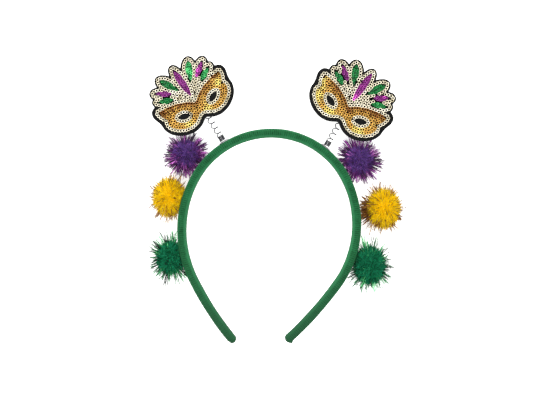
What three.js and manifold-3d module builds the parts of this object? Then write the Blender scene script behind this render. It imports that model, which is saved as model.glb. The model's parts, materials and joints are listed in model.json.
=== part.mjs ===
// Carnival mask headband: a padded cloth hoop that carries two sequinned masks on coil springs and six pompoms.
// It lies on its back, as it rests by itself, on the pompoms. +Z is up, towards the masks' faces, and +Y runs
// from the hoop's open ends to its crown. Millimetres.

import * as THREE from 'three';
import { mergeVertices } from 'three/addons/utils/BufferGeometryUtils.js';
import Module from 'manifold-3d';

const wasm = await Module();
wasm.setup();

// Driving dimensions

const CLEARANCE = 0.3; // gap between neighbouring pieces

const BAND = {
	thickness: 6.4, // inner face to outer face
	width: 9, // front to back
	innerFlat: 4.6, // width of the flat inner face
	height: 17, // middle of the band above the surface it lies on
	facet: 9, // length of one facet along the band
	cornerFacets: 3, // facets round each of the section's four corners
	tipRound: 3, // length of the rounded end
};

// Arcs of the band's middle line, from the crown to each open end: radius, and sweep in degrees
const BAND_ARCS = {
	left: [
		{ radius: 63, sweep: 63 },
		{ radius: 79, sweep: 53 },
		{ radius: 220, sweep: 14.4 },
	],
	right: [
		{ radius: 60.5, sweep: 65 },
		{ radius: 73.5, sweep: 61 },
		{ radius: 260, sweep: 12.2 },
	],
};

// Rings that round an open end: distance back from the end, as a share of tipRound, and size of the ring
const TIP_RINGS = [
	{ back: 1, size: 1 },
	{ back: 0.4, size: 0.86 },
	{ back: 0, size: 0.5 },
];

// wrap: how far the clip reaches past the band's middle, as a share of the band's thickness
const CLIP = { length: 7, sheet: 0.4, wrap: 0.1, facets: 3 };

const SPRING = {
	diameter: 4.8, // outside of the coil
	wire: 0.6,
	closeTurns: 4,
	closePitch: 0.95,
	openTurns: 5.25,
	openPitch: 4.2,
	stepsPerTurn: 8,
	sides: 5,
	lengthSamples: 800, // for steps of equal length along the wire
};

// Masks on their springs: place along the band from the crown, lean of the spring and of the mask from +Y in
// degrees, where the mask's nose notch lies, along the spring from its foot and across it, and size of the mask
const BOBBERS = [
	{ side: 'left', along: 34.3, springLean: 32, maskLean: 35, notchAlong: 20, notchAcross: -1.4, size: 1 },
	{ side: 'right', along: 40, springLean: -30, maskLean: -35, notchAlong: 18.2, notchAcross: -1.6, size: 1.027 },
];

const MASK = {
	felt: 2, // thickness of the backing
	panel: 0.9, // thickness of a sequinned panel
	trim: 1.2, // thickness of the sequinned border
	border: 2.1, // width of that border, and of an eye's rim
	feltPastFeathers: 1.3, // how far the backing shows round the feathers
	feltPastMask: 2.7, // and round the eye mask
};

// Right half of the gold eye mask. Its origin is at the backing's nose notch, +Y to the feathers. The edge leaves
// a point level or upright, and beside, below and above are how far it heads that way before it bends off
const EYE_MASK = {
	bridge: { x: 0, y: 5.6, beside: 4.6 },
	lobe: { x: 11.6, y: 1.1, beside: 6.3 },
	cheek: { x: 24.8, y: 10.6, below: 4, above: 2.4 },
	cusp: { x: 22.8, y: 14.5 },
	wing: { x: 26.3, y: 22.3, below: 4.8, beside: 16.3 },
	brow: { x: 0, y: 13.2 },
};
const EYE_MASK_FACETS = 4; // along each of its curves

const EYE = { x: 12.7, y: 9.7, length: 9.2, width: 4.4, tilt: 22 }; // outer corner turned up by tilt degrees

// Right half of the feathers: base and tip of each panel, its width, where along it is fullest, and how much
// further than its width the border runs past the tip
const FEATHERS = [
	{ base: [11.3, 23.7], tip: [22, 28.7], width: 3.8, fullest: 0.5, pastTip: 1.1, finish: 'greenSequins' },
	{ base: [10.6, 28], tip: [20.2, 34.6], width: 3.8, fullest: 0.45, pastTip: 1.2, finish: 'purpleSequins' },
	{ base: [5.2, 26.6], tip: [12.3, 40.4], width: 5.2, fullest: 0.62, pastTip: 0.5, finish: 'greenSequins' },
	{ base: [0, 18.5], tip: [0, 41.4], width: 5.3, fullest: 0.5, pastTip: 0.4, finish: 'purpleSequins' },
];

// A leaf's edge is cut into this many steps, and a lower fullness swells it towards its ends
const LEAF = { steps: 6, fullness: 0.75 };

// Oval of border sequins that fills between the feathers' feet
const FAN = { y: 22.5, halfWidth: 12, halfHeight: 8, corners: 16 };

// Pompoms: place along the band from the crown, distance of the middle from the band's middle line, diameter of
// the fluff, and diameter across the tinsel tips
const POMPOM_HEIGHT = 13; // middle of every pompom above the surface
const POMPOMS = [
	{ side: 'left', colour: 'purple', along: 57, out: 15.4, fluff: 23, tips: 36 },
	{ side: 'left', colour: 'yellow', along: 85.2, out: 12.2, fluff: 25, tips: 33 },
	{ side: 'left', colour: 'green', along: 123.6, out: 10.8, fluff: 24, tips: 35 },
	{ side: 'right', colour: 'purple', along: 61, out: 15.6, fluff: 23, tips: 36 },
	{ side: 'right', colour: 'yellow', along: 91, out: 19, fluff: 25, tips: 33 },
	{ side: 'right', colour: 'green', along: 126.2, out: 14.6, fluff: 24, tips: 35 },
];
// Locks of a pompom: root is where one starts, and shortest its least reach, as shares of fluff and tips
const LOCK = { count: 29, width: 8, root: 0.5, shortest: 0.84, sides: 4 };
const NOD_ROOM = 5.5; // kept free of tinsel round and behind a mask, for its nodding

const FINISHES = {
	cloth: { color: '#0d7a45', roughness: 0.85, metalness: 0 },
	steel: { color: '#a3a5a8', roughness: 0.3, metalness: 1 },
	felt: { color: '#17171c', roughness: 1, metalness: 0 },
	goldSequins: { color: '#d9961c', roughness: 0.3, metalness: 0.5 },
	paleSequins: { color: '#efe7c6', roughness: 0.3, metalness: 0.3 },
	greenSequins: { color: '#178a3a', roughness: 0.3, metalness: 0.5 },
	purpleSequins: { color: '#8f2a8f', roughness: 0.3, metalness: 0.5 },
	purpleTinsel: { color: '#4b2a7d', roughness: 0.5, metalness: 0.2 },
	yellowTinsel: { color: '#e2ad12', roughness: 0.6, metalness: 0.1 },
	greenTinsel: { color: '#0a6b45', roughness: 0.6, metalness: 0.1 },
};

const SIDE_SIGN = { left: -1, right: 1 };
const { degToRad } = THREE.MathUtils;

// Solids

function solidOf(geometry) {
	const bare = new THREE.BufferGeometry();
	bare.setAttribute('position', geometry.getAttribute('position'));
	bare.setIndex(geometry.getIndex());
	const merged = mergeVertices(bare);
	const vertProperties = merged.getAttribute('position').array;
	const triVerts = new Uint32Array(merged.getIndex().array);
	return new wasm.Manifold(new wasm.Mesh({ numProp: 3, vertProperties, triVerts }));
}

function geometryOf(solid) {
	const { vertProperties, triVerts } = solid.getMesh();
	const geometry = new THREE.BufferGeometry();
	geometry.setAttribute('position', new THREE.BufferAttribute(vertProperties, 3));
	geometry.setIndex(new THREE.BufferAttribute(triVerts, 1));
	return geometry;
}

function joined(solids) {
	return solids.reduce((whole, solid) => whole.add(solid));
}

function sub(name, geometry, finish) {
	const mesh = new THREE.Mesh(geometry, new THREE.MeshStandardMaterial(FINISHES[finish]));
	mesh.name = name;
	return mesh;
}

// A closed skin over equal rings of points, with flat ends cut as the flat section is
function loft(rings, section) {
	const around = section.length;
	const positions = rings.flat().flatMap((point) => point.toArray());
	const index = [];
	for (let ring = 0; ring + 1 < rings.length; ring++) {
		for (let k = 0; k < around; k++) {
			const a = ring * around + k;
			const b = ring * around + ((k + 1) % around);
			index.push(a, b, b + around, a, b + around, a + around);
		}
	}
	const last = (rings.length - 1) * around;
	for (const [a, b, c] of THREE.ShapeUtils.triangulateShape(section, [])) {
		index.push(a, c, b, last + a, last + b, last + c);
	}
	const geometry = new THREE.BufferGeometry();
	geometry.setAttribute('position', new THREE.Float32BufferAttribute(positions, 3));
	geometry.setIndex(index);
	return geometry;
}

// Band

function outward(side, turned) {
	return new THREE.Vector2(SIDE_SIGN[side] * Math.sin(turned), Math.cos(turned));
}

// The middle line at a distance from the crown: its point, and the direction out of the hoop
function bandPlace(side, along) {
	const middle = new THREE.Vector2();
	let turned = 0;
	let remaining = along;
	for (const { radius, sweep } of BAND_ARCS[side]) {
		const turn = Math.min(remaining / radius, degToRad(sweep));
		middle.addScaledVector(outward(side, turned), -radius);
		turned += turn;
		middle.addScaledVector(outward(side, turned), radius);
		remaining -= turn * radius;
	}
	return { middle, out: outward(side, turned) };
}

function bandLength(side) {
	return BAND_ARCS[side].reduce((length, { radius, sweep }) => length + radius * degToRad(sweep), 0);
}

// Section across the band: x points out of the hoop, y up. It is domed outside and flat inside
function bandSection(extra = 0) {
	const deep = BAND.thickness / 2 + extra;
	const high = BAND.width / 2 + extra;
	const flat = BAND.innerFlat / 2;
	const section = new THREE.Shape();
	section.moveTo(-deep, -flat);
	section.quadraticCurveTo(-deep, -high, 0, -high);
	section.quadraticCurveTo(deep, -high, deep, 0);
	section.quadraticCurveTo(deep, high, 0, high);
	section.quadraticCurveTo(-deep, high, -deep, flat);
	return section.getPoints(BAND.cornerFacets);
}

function ringAt(side, along, section, size = 1) {
	const { middle, out } = bandPlace(side, along);
	return section.map(({ x, y }) => {
		const point = out.clone().multiplyScalar(x * size).add(middle);
		return new THREE.Vector3(point.x, point.y, BAND.height + y * size);
	});
}

// Rings from near the crown to one open end
function sideRings(side, section) {
	const straight = bandLength(side) - BAND.tipRound;
	const half = BAND.facet / 2;
	const facets = Math.round((straight - half) / BAND.facet);
	const rings = [];
	for (let k = 0; k < facets; k++) {
		rings.push(ringAt(side, half + ((straight - half) * k) / facets, section));
	}
	for (const { back, size } of TIP_RINGS) {
		rings.push(ringAt(side, bandLength(side) - back * BAND.tipRound, section, size));
	}
	return rings;
}

function bandGeometry(extra = 0) {
	const section = bandSection(extra);
	return loft([...sideRings('left', section).reverse(), ...sideRings('right', section)], section);
}

// Spring clip: a thin saddle of sheet over the band's outer side
function clipGeometry({ side, along }) {
	const under = bandSection(CLEARANCE);
	const over = bandSection(CLEARANCE + CLIP.sheet);
	const wraps = ({ x }) => x > -CLIP.wrap * BAND.thickness;
	const section = [...over.filter(wraps), ...under.filter(wraps).reverse()];
	const rings = Array.from({ length: CLIP.facets + 1 }, (_, k) => {
		const fromMiddle = (k / CLIP.facets - 0.5) * CLIP.length;
		return ringAt(side, along + SIDE_SIGN[side] * fromMiddle, section);
	});
	return loft(rings, section);
}

// Spring

class SpringPath extends THREE.Curve {
	getPoint(share, target = new THREE.Vector3()) {
		const { diameter, wire, closeTurns, closePitch, openTurns, openPitch } = SPRING;
		const turns = share * (closeTurns + openTurns);
		const radius = (diameter - wire) / 2;
		const rise = Math.min(turns, closeTurns) * closePitch + Math.max(0, turns - closeTurns) * openPitch;
		const angle = turns * 2 * Math.PI;
		return target.set(radius * Math.cos(angle), wire / 2 + CLEARANCE + rise, radius * Math.sin(angle));
	}
}

function springGeometry() {
	const turns = SPRING.closeTurns + SPRING.openTurns;
	const path = new SpringPath();
	path.arcLengthDivisions = SPRING.lengthSamples;
	const corner = new THREE.Vector2(SPRING.wire / 2, 0);
	const section = Array.from({ length: SPRING.sides }, (_, k) => {
		return corner.clone().rotateAround(new THREE.Vector2(), (2 * Math.PI * k) / SPRING.sides);
	});
	return new THREE.ExtrudeGeometry(new THREE.Shape(section), {
		steps: Math.round(turns * SPRING.stepsPerTurn),
		extrudePath: path,
	});
}

// Outlines of the mask

function mirrored(points) {
	return points.map(({ x, y }) => new THREE.Vector2(-x, y)).reverse();
}

function eyeMaskOutline() {
	const { bridge, lobe, cheek, cusp, wing, brow } = EYE_MASK;
	const half = new THREE.Shape();
	half.moveTo(bridge.x, bridge.y);
	half.bezierCurveTo(bridge.beside, bridge.y, lobe.x - lobe.beside, lobe.y, lobe.x, lobe.y);
	half.bezierCurveTo(lobe.x + lobe.beside, lobe.y, cheek.x, cheek.y - cheek.below, cheek.x, cheek.y);
	half.quadraticCurveTo(cheek.x, cheek.y + cheek.above, cusp.x, cusp.y);
	half.quadraticCurveTo(wing.x, wing.y - wing.below, wing.x, wing.y);
	half.quadraticCurveTo(wing.x - wing.beside, wing.y, brow.x, brow.y);
	const points = half.getPoints(EYE_MASK_FACETS);
	return [...points, ...mirrored(points).slice(1, -1)];
}

// A leaf from base to tip, fullest at a share of its length
function leafOutline({ base, tip, width, fullest = 0.5 }, pastTip = 0) {
	const from = new THREE.Vector2(...base);
	const run = new THREE.Vector2(...tip).sub(from);
	run.setLength(run.length() + pastTip);
	const across = new THREE.Vector2(run.y, -run.x).normalize();
	const skew = Math.log(0.5) / Math.log(fullest);
	const edge = (side) => (k) => {
		const share = (1 - Math.cos((Math.PI * k) / LEAF.steps)) / 2;
		const half = (width / 2) * Math.sin(Math.PI * share ** skew) ** LEAF.fullness;
		return from.clone().addScaledVector(run, share).addScaledVector(across, side * half);
	};
	const ranks = Array.from({ length: LEAF.steps - 1 }, (_, k) => k + 1);
	const right = ranks.map(edge(1));
	const left = ranks.map(edge(-1)).reverse();
	return [from, ...right, from.clone().add(run), ...left];
}

function eyeOutline(side) {
	const half = new THREE.Vector2(EYE.length / 2, 0).rotateAround(new THREE.Vector2(), degToRad(EYE.tilt));
	const inner = [EYE.x - half.x, EYE.y - half.y];
	const outer = [EYE.x + half.x, EYE.y + half.y];
	const points = leafOutline({ base: inner, tip: outer, width: EYE.width });
	return side > 0 ? points : mirrored(points);
}

function fanOutline() {
	const oval = new THREE.EllipseCurve(0, FAN.y, FAN.halfWidth, FAN.halfHeight);
	return oval.getPoints(FAN.corners).slice(0, -1);
}

// All seven feathers of one mask, from left to right: each one's panel, and the longer leaf its border follows
function allFeathers() {
	const onRight = FEATHERS.map((feather) => ({
		finish: feather.finish,
		panel: leafOutline(feather),
		leaf: leafOutline(feather, feather.pastTip),
	}));
	const middle = onRight.pop();
	const onLeft = onRight.map(({ finish, panel, leaf }) => ({
		finish,
		panel: mirrored(panel),
		leaf: mirrored(leaf),
	}));
	return [...onLeft, middle, ...onRight.reverse()];
}

function distanceTo(point, outline) {
	const nearest = new THREE.Vector3();
	const here = new THREE.Vector3(point.x, point.y, 0);
	const edge = new THREE.Line3();
	let least = Infinity;
	outline.forEach((start, i) => {
		const end = outline[(i + 1) % outline.length];
		edge.start.set(start.x, start.y, 0);
		edge.end.set(end.x, end.y, 0);
		least = Math.min(least, edge.closestPointToPoint(here, true, nearest).distanceTo(here));
	});
	return least;
}

// An outline moved out by a distance, with its sharp outer corners rounded and its inner corners kept sharp
function grown(outline, distance) {
	const roundStep = degToRad(40);
	const slack = 0.02;
	const count = outline.length;
	const heading = (i) => outline[(i + 1) % count].clone().sub(outline[i % count]).angle();
	const moved = outline.flatMap((point, i) => {
		const before = heading(i + count - 1);
		const turn = THREE.MathUtils.euclideanModulo(heading(i) - before + Math.PI, 2 * Math.PI) - Math.PI;
		const steps = Math.max(0, Math.floor(turn / roundStep));
		const reach = steps ? distance : distance / Math.cos(turn / 2);
		return Array.from({ length: steps + 1 }, (_, k) => {
			const normal = before + turn * (steps ? k / steps : 0.5) - Math.PI / 2;
			return new THREE.Vector2(Math.cos(normal), Math.sin(normal)).multiplyScalar(reach).add(point);
		});
	});
	return moved.filter((point) => distanceTo(point, outline) > distance - slack);
}

function plate(outline, thickness, holes = []) {
	const shape = new THREE.Shape(outline);
	shape.holes = holes.map((hole) => new THREE.Path(hole));
	return new THREE.ExtrudeGeometry(shape, { depth: thickness, bevelEnabled: false });
}

function platesJoined(outlines, thickness) {
	return joined(outlines.map((outline) => solidOf(plate(outline, thickness))));
}

// Mask

function feltSolid(thickness, extra = 0) {
	const aroundFeathers = MASK.border + MASK.feltPastFeathers + extra;
	const aroundMask = MASK.border + MASK.feltPastMask + extra;
	const feathers = allFeathers().map(({ leaf }) => grown(leaf, aroundFeathers));
	return platesJoined([...feathers, grown(eyeMaskOutline(), aroundMask), fanOutline()], thickness);
}

function trimSolid() {
	const feathers = allFeathers();
	const leaves = feathers.map(({ leaf }) => leaf);
	const panels = feathers.map(({ panel }) => panel);
	const outside = [eyeMaskOutline(), ...leaves].map((outline) => grown(outline, MASK.border));
	const inside = [eyeMaskOutline(), ...panels].map((outline) => grown(outline, CLEARANCE));
	return platesJoined([...outside, fanOutline()], MASK.trim).subtract(platesJoined(inside, MASK.trim));
}

function maskGroup(side) {
	const mask = new THREE.Group();
	const front = new THREE.Group();
	front.position.z = MASK.felt + CLEARANCE;
	const eyes = [eyeOutline(-1), eyeOutline(1)];
	const rims = eyes.map((eye) => grown(eye, MASK.border));
	const eyeHoles = eyes.map((eye) => grown(eye, MASK.border + CLEARANCE));
	mask.add(sub(`${side}_felt`, geometryOf(feltSolid(MASK.felt)), 'felt'), front);
	front.add(sub(`${side}_gold_field`, plate(eyeMaskOutline(), MASK.panel, eyeHoles), 'goldSequins'));
	front.add(sub(`${side}_trim`, geometryOf(trimSolid()), 'paleSequins'));
	rims.forEach((rim, i) => {
		front.add(sub(`${side}_eye_rim_${i + 1}`, plate(rim, MASK.trim, [eyes[i]]), 'paleSequins'));
	});
	allFeathers().forEach(({ panel, finish }, i) => {
		front.add(sub(`${side}_feather_${i + 1}`, plate(panel, MASK.panel), finish));
	});
	return mask;
}

// A spring that stands on its clip, and the mask in front of its upper turns
function bobberGroup(bobber) {
	const { side, along, springLean, maskLean, notchAlong, notchAcross, size } = bobber;
	const { middle, out } = bandPlace(side, along);
	const foot = out.clone().multiplyScalar(BAND.thickness / 2 + CLEARANCE + CLIP.sheet).add(middle);
	const group = new THREE.Group();
	group.position.set(foot.x, foot.y, BAND.height);
	group.rotation.z = degToRad(springLean);
	const mask = maskGroup(side);
	mask.position.set(notchAcross, notchAlong, SPRING.diameter / 2 + CLEARANCE);
	mask.rotation.z = degToRad(maskLean - springLean);
	mask.scale.setScalar(size);
	group.add(sub(`${side}_spring`, springGeometry(), 'steel'), mask);
	return { group, mask };
}

// Pompom

// Directions spread evenly over a ball, with one straight down
function spreadDirections(count) {
	const golden = Math.PI * (3 - Math.sqrt(5));
	return Array.from({ length: count }, (_, k) => {
		const z = -1 + (2 * k) / (count - 1);
		const level = Math.sqrt(1 - z * z);
		return new THREE.Vector3(level * Math.cos(k * golden), level * Math.sin(k * golden), z);
	});
}

// How far a ray can go before it has dropped or drawn in by a depth
function reachTo(depth, rate) {
	return rate > 0 ? depth / rate : Infinity;
}

// How far one lock reaches: it stops at the surface below and at the band
function lockReach(direction, rank, { out, fluff, tips }, towardsBand) {
	const shorter = 1 - (1 - LOCK.shortest) * ((rank % 3) / 2);
	const toSurface = reachTo(POMPOM_HEIGHT, -direction.z);
	const toBand = reachTo(out - BAND.thickness / 2, direction.x * towardsBand.x + direction.y * towardsBand.y);
	return Math.min((shorter * tips) / 2, toSurface, Math.max(toBand, fluff / 2));
}

// One lock: a tapered tuft from inside the fluff to its tip
function lockGeometry(direction, reach, fluff) {
	const root = (LOCK.root * fluff) / 2;
	const lock = new THREE.ConeGeometry(LOCK.width / 2, reach - root, LOCK.sides);
	lock.translate(0, (reach + root) / 2, 0);
	lock.applyQuaternion(new THREE.Quaternion().setFromUnitVectors(new THREE.Vector3(0, 1, 0), direction));
	return lock;
}

function pompomSolid(pompom, keptFree) {
	const { side, along, out, fluff } = pompom;
	const place = bandPlace(side, along);
	const middle = place.out.clone().multiplyScalar(out).add(place.middle);
	const towardsBand = place.out.clone().negate();
	const locks = spreadDirections(LOCK.count).map((direction, rank) => {
		return lockGeometry(direction, lockReach(direction, rank, pompom, towardsBand), fluff);
	});
	// One more lock, glued to the band's outer face
	const toBand = new THREE.Vector3(towardsBand.x * out, towardsBand.y * out, BAND.height - POMPOM_HEIGHT);
	locks.push(lockGeometry(toBand.clone().normalize(), toBand.length(), fluff));
	const head = new THREE.IcosahedronGeometry(fluff / 2, 1);
	const whole = joined([head, ...locks].map(solidOf)).translate([middle.x, middle.y, POMPOM_HEIGHT]);
	return whole.subtract(keptFree);
}

// The headband

const headband = new THREE.Group();
headband.add(sub('band', bandGeometry(), 'cloth'));

const keptFree = [solidOf(bandGeometry(CLEARANCE))];
for (const bobber of BOBBERS) {
	const { group, mask } = bobberGroup(bobber);
	headband.add(group, sub(`${bobber.side}_spring_clip`, clipGeometry(bobber), 'steel'));
	mask.updateWorldMatrix(true, false);
	const nodRoom = geometryOf(feltSolid(2 * BAND.height, NOD_ROOM));
	nodRoom.translate(0, 0, -NOD_ROOM);
	keptFree.push(solidOf(nodRoom.applyMatrix4(mask.matrixWorld)));
}

const free = joined(keptFree);
for (const pompom of POMPOMS) {
	const name = `${pompom.side}_${pompom.colour}_pompom`;
	headband.add(sub(name, geometryOf(pompomSolid(pompom, free)), `${pompom.colour}Tinsel`));
}

// The origin is on the surface, under the middle of the whole
const box = new THREE.Box3().setFromObject(headband, true);
const centre = box.getCenter(new THREE.Vector3());
headband.position.set(-centre.x, -centre.y, -box.min.z);

export default headband;
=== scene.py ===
"""Dresses the mask headband in its finishes.

A ribbed cloth band carries two sequinned carnival masks on coil springs, and six tinsel pompoms. It lies on
its back with the masks facing up. Everything is in metres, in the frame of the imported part.
"""

import json
import logging
import math
from collections.abc import Callable, Iterator
from dataclasses import dataclass
from enum import Enum

import bmesh
import bpy
import numpy as np
from bpy.types import ID, Material, Node, NodeOutputs, NodeSocket, NodeTree, Object
from mathutils import Matrix, Vector


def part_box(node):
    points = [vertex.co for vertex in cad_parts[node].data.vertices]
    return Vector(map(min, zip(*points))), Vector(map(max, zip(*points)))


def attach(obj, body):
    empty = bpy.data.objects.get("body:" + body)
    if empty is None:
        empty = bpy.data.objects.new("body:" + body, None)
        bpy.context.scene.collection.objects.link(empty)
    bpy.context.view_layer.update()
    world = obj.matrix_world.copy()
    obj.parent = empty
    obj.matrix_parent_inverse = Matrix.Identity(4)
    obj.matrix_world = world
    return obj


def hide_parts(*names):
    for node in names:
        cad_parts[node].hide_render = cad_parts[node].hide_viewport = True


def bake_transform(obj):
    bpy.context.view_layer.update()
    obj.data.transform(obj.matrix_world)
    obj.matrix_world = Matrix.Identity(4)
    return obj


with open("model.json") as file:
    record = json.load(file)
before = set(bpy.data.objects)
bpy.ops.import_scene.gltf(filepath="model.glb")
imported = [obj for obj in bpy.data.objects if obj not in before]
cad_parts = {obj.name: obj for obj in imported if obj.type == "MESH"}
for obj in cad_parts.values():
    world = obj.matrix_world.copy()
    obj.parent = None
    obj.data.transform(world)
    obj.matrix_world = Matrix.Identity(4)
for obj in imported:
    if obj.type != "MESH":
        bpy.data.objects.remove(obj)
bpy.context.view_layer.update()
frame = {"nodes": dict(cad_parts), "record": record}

MM = 0.001
UP = Vector((0, 0, 1))
MERGE = 1e-7
NODE_MERGE = 1e-6
GOLDEN_TURN = math.pi * (3 - math.sqrt(5))

log = logging.getLogger("mask_headband")

Colour = tuple[float, float, float, float]
Value = float | Colour | NodeSocket
Inputs = dict[str | int, Value]
WHITE: Colour = (1, 1, 1, 1)


class Side(Enum):
    """The two halves of the hoop, as the masks face the viewer."""

    LEFT = "left"
    RIGHT = "right"

    @property
    def sign(self) -> int:
        """-1 on the left, where X is negative, and 1 on the right."""
        return -1 if self is Side.LEFT else 1


class Hue(Enum):
    """The pompoms' colours."""

    PURPLE = "purple"
    YELLOW = "yellow"
    GREEN = "green"


class Foil(Enum):
    """The sequins' colours, by the record's material slot."""

    GOLD = "gold_sequins"
    PALE = "pale_sequins"
    GREEN = "green_sequins"
    PURPLE = "purple_sequins"


# Small tools


def linear(code: str) -> Colour:
    """An sRGB hex colour such as #d8901c as linear RGBA."""
    channels = [int(code[i : i + 2], 16) / 255 for i in (1, 3, 5)]
    r, g, b = (c / 12.92 if c <= 0.04045 else ((c + 0.055) / 1.055) ** 2.4 for c in channels)
    return r, g, b, 1.0


def clear_selection() -> None:
    """Leaves edit mode with nothing selected, so that an operator touches only what it makes."""
    if bpy.context.mode != "OBJECT":
        bpy.ops.object.mode_set(mode="OBJECT")
    bpy.ops.object.select_all(action="DESELECT")


def activate(obj: Object) -> None:
    """Selects one object alone and makes it active."""
    clear_selection()
    obj.select_set(True)
    bpy.context.view_layer.objects.active = obj


def edit(obj: Object) -> None:
    """Opens one object in edit mode, by its vertices, with all of it selected."""
    activate(obj)
    bpy.ops.object.mode_set(mode="EDIT")
    bpy.ops.mesh.select_mode(type="VERT")
    bpy.ops.mesh.select_all(action="SELECT")


def pick(obj: Object, test: Callable[[Vector], bool]) -> None:
    """Selects the vertices of an object in edit mode that pass a test, and what lies between them.

    Args:
        obj: The object in edit mode.
        test: Says whether the vertex at a place is selected.
    """
    shape = bmesh.from_edit_mesh(obj.data)
    for vertex in shape.verts:
        vertex.select = test(vertex.co)
    shape.select_mode = {"VERT"}
    shape.select_flush_mode()
    bmesh.update_edit_mesh(obj.data)


def modify(obj: Object, kind: str, **settings: object) -> None:
    """Adds a modifier of some kind, with its own properties."""
    modifier = obj.modifiers.new(kind.lower(), kind)
    for name, value in settings.items():
        setattr(modifier, name, value)


def apply_modifiers(obj: Object) -> None:
    """Applies all of an object's modifiers, in order."""
    activate(obj)
    for modifier in list(obj.modifiers):
        bpy.ops.object.modifier_apply(modifier=modifier.name)


def settle(obj: Object) -> None:
    """Puts an object's place, turn and size into its mesh."""
    activate(obj)
    bpy.ops.object.transform_apply(location=True, rotation=True, scale=True)


def extrude(move: Vector) -> None:
    """Extrudes what is selected in edit mode, and moves the new part."""
    bpy.ops.mesh.extrude_region_move(TRANSFORM_OT_translate={"value": move})


def close_up(obj: Object) -> None:
    """Merges an object's doubles and turns its faces outwards."""
    edit(obj)
    bpy.ops.mesh.remove_doubles(threshold=MERGE)
    bpy.ops.mesh.normals_make_consistent(inside=False)
    bpy.ops.object.mode_set(mode="OBJECT")


def smooth(obj: Object, angle: float) -> None:
    """Shades an object smooth, apart from edges sharper than an angle in degrees."""
    activate(obj)
    bpy.ops.object.shade_smooth_by_angle(angle=math.radians(angle))


def points_of(obj: Object) -> np.ndarray:
    """An object's vertices as an array of points."""
    flat = np.empty(len(obj.data.vertices) * 3)
    obj.data.vertices.foreach_get("co", flat)
    return flat.reshape(-1, 3)


def move_points(obj: Object, points: np.ndarray) -> None:
    """Moves an object's vertices to an array of points."""
    obj.data.vertices.foreach_set("co", points.astype(np.float32).ravel())
    obj.data.update()


def triangles_of(obj: Object) -> np.ndarray:
    """An object's triangles as rows of three vertex numbers."""
    obj.data.calc_loop_triangles()
    flat = np.empty(len(obj.data.loop_triangles) * 3, np.int32)
    obj.data.loop_triangles.foreach_get("vertices", flat)
    return flat.reshape(-1, 3)


def store(obj: Object, name: str, values: np.ndarray) -> None:
    """Keeps one number for each vertex as an attribute that materials read."""
    attribute = obj.data.attributes.new(name, "FLOAT", "POINT")
    attribute.data.foreach_set("value", values.astype(np.float32))


def linked(name: str, data: ID) -> Object:
    """A new object in the scene, made of a mesh, a light or a camera."""
    obj = bpy.data.objects.new(name, data)
    bpy.context.scene.collection.objects.link(obj)
    return obj


def taken(obj: Object) -> tuple[np.ndarray, np.ndarray]:
    """Takes a scratch object out of the scene, and gives its points and triangles."""
    points, triangles = points_of(obj), triangles_of(obj)
    bpy.data.objects.remove(obj)
    return points, triangles


def node_arrays(node: str) -> tuple[np.ndarray, np.ndarray]:
    """The points and triangles of a CAD node, with its loose triangles merged."""
    mesh = frame["nodes"][node].data.copy()
    mesh.materials.clear()
    obj = linked("scratch", mesh)
    edit(obj)
    bpy.ops.mesh.customdata_custom_splitnormals_clear()
    bpy.ops.mesh.remove_doubles(threshold=NODE_MERGE)
    bpy.ops.mesh.dissolve_limited(angle_limit=math.radians(0.5))
    bpy.ops.object.mode_set(mode="OBJECT")
    return taken(obj)


@dataclass
class Part:
    """Part of a piece: its mesh, the values of its points and the number of its material."""

    points: np.ndarray
    triangles: np.ndarray
    values: dict[str, np.ndarray]
    material: int


def assembled(name: str, parts: list[Part], *materials: Material) -> Object:
    """A new object made of several parts.

    Args:
        name: The object's name.
        parts: The parts, all with values by the same labels.
        *materials: The materials that the parts number.

    Returns:
        The object, in the scene, with the values as attributes.
    """
    starts = np.cumsum([0] + [len(part.points) for part in parts])
    points = np.vstack([part.points for part in parts])
    triangles = np.vstack([part.triangles + start for part, start in zip(parts, starts)])
    numbers = np.concatenate([np.full(len(part.triangles), part.material, np.int32) for part in parts])
    mesh = bpy.data.meshes.new(name)
    mesh.vertices.add(len(points))
    mesh.vertices.foreach_set("co", points.astype(np.float32).ravel())
    mesh.loops.add(triangles.size)
    mesh.loops.foreach_set("vertex_index", triangles.astype(np.int32).ravel())
    mesh.polygons.add(len(triangles))
    mesh.polygons.foreach_set("loop_start", np.arange(0, triangles.size, 3, dtype=np.int32))
    mesh.update(calc_edges=True)
    obj = linked(name, mesh)
    for label in parts[0].values:
        store(obj, label, np.concatenate([part.values[label] for part in parts]))
    for material in materials:
        mesh.materials.append(material)
    mesh.polygons.foreach_set("material_index", numbers)
    return obj


def hand_over(obj: Object, node: str, body: str | None) -> None:
    """Lets a finished piece stand for a CAD node.

    Args:
        obj: The piece.
        node: The node that it stands for.
        body: The body that it rides on, or None to leave it unattached.
    """
    if body:
        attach(obj, body)
    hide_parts(node)
    log.info("%s: %d triangles, for %s", obj.name, len(triangles_of(obj)), node)


# Shader nodes


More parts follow.
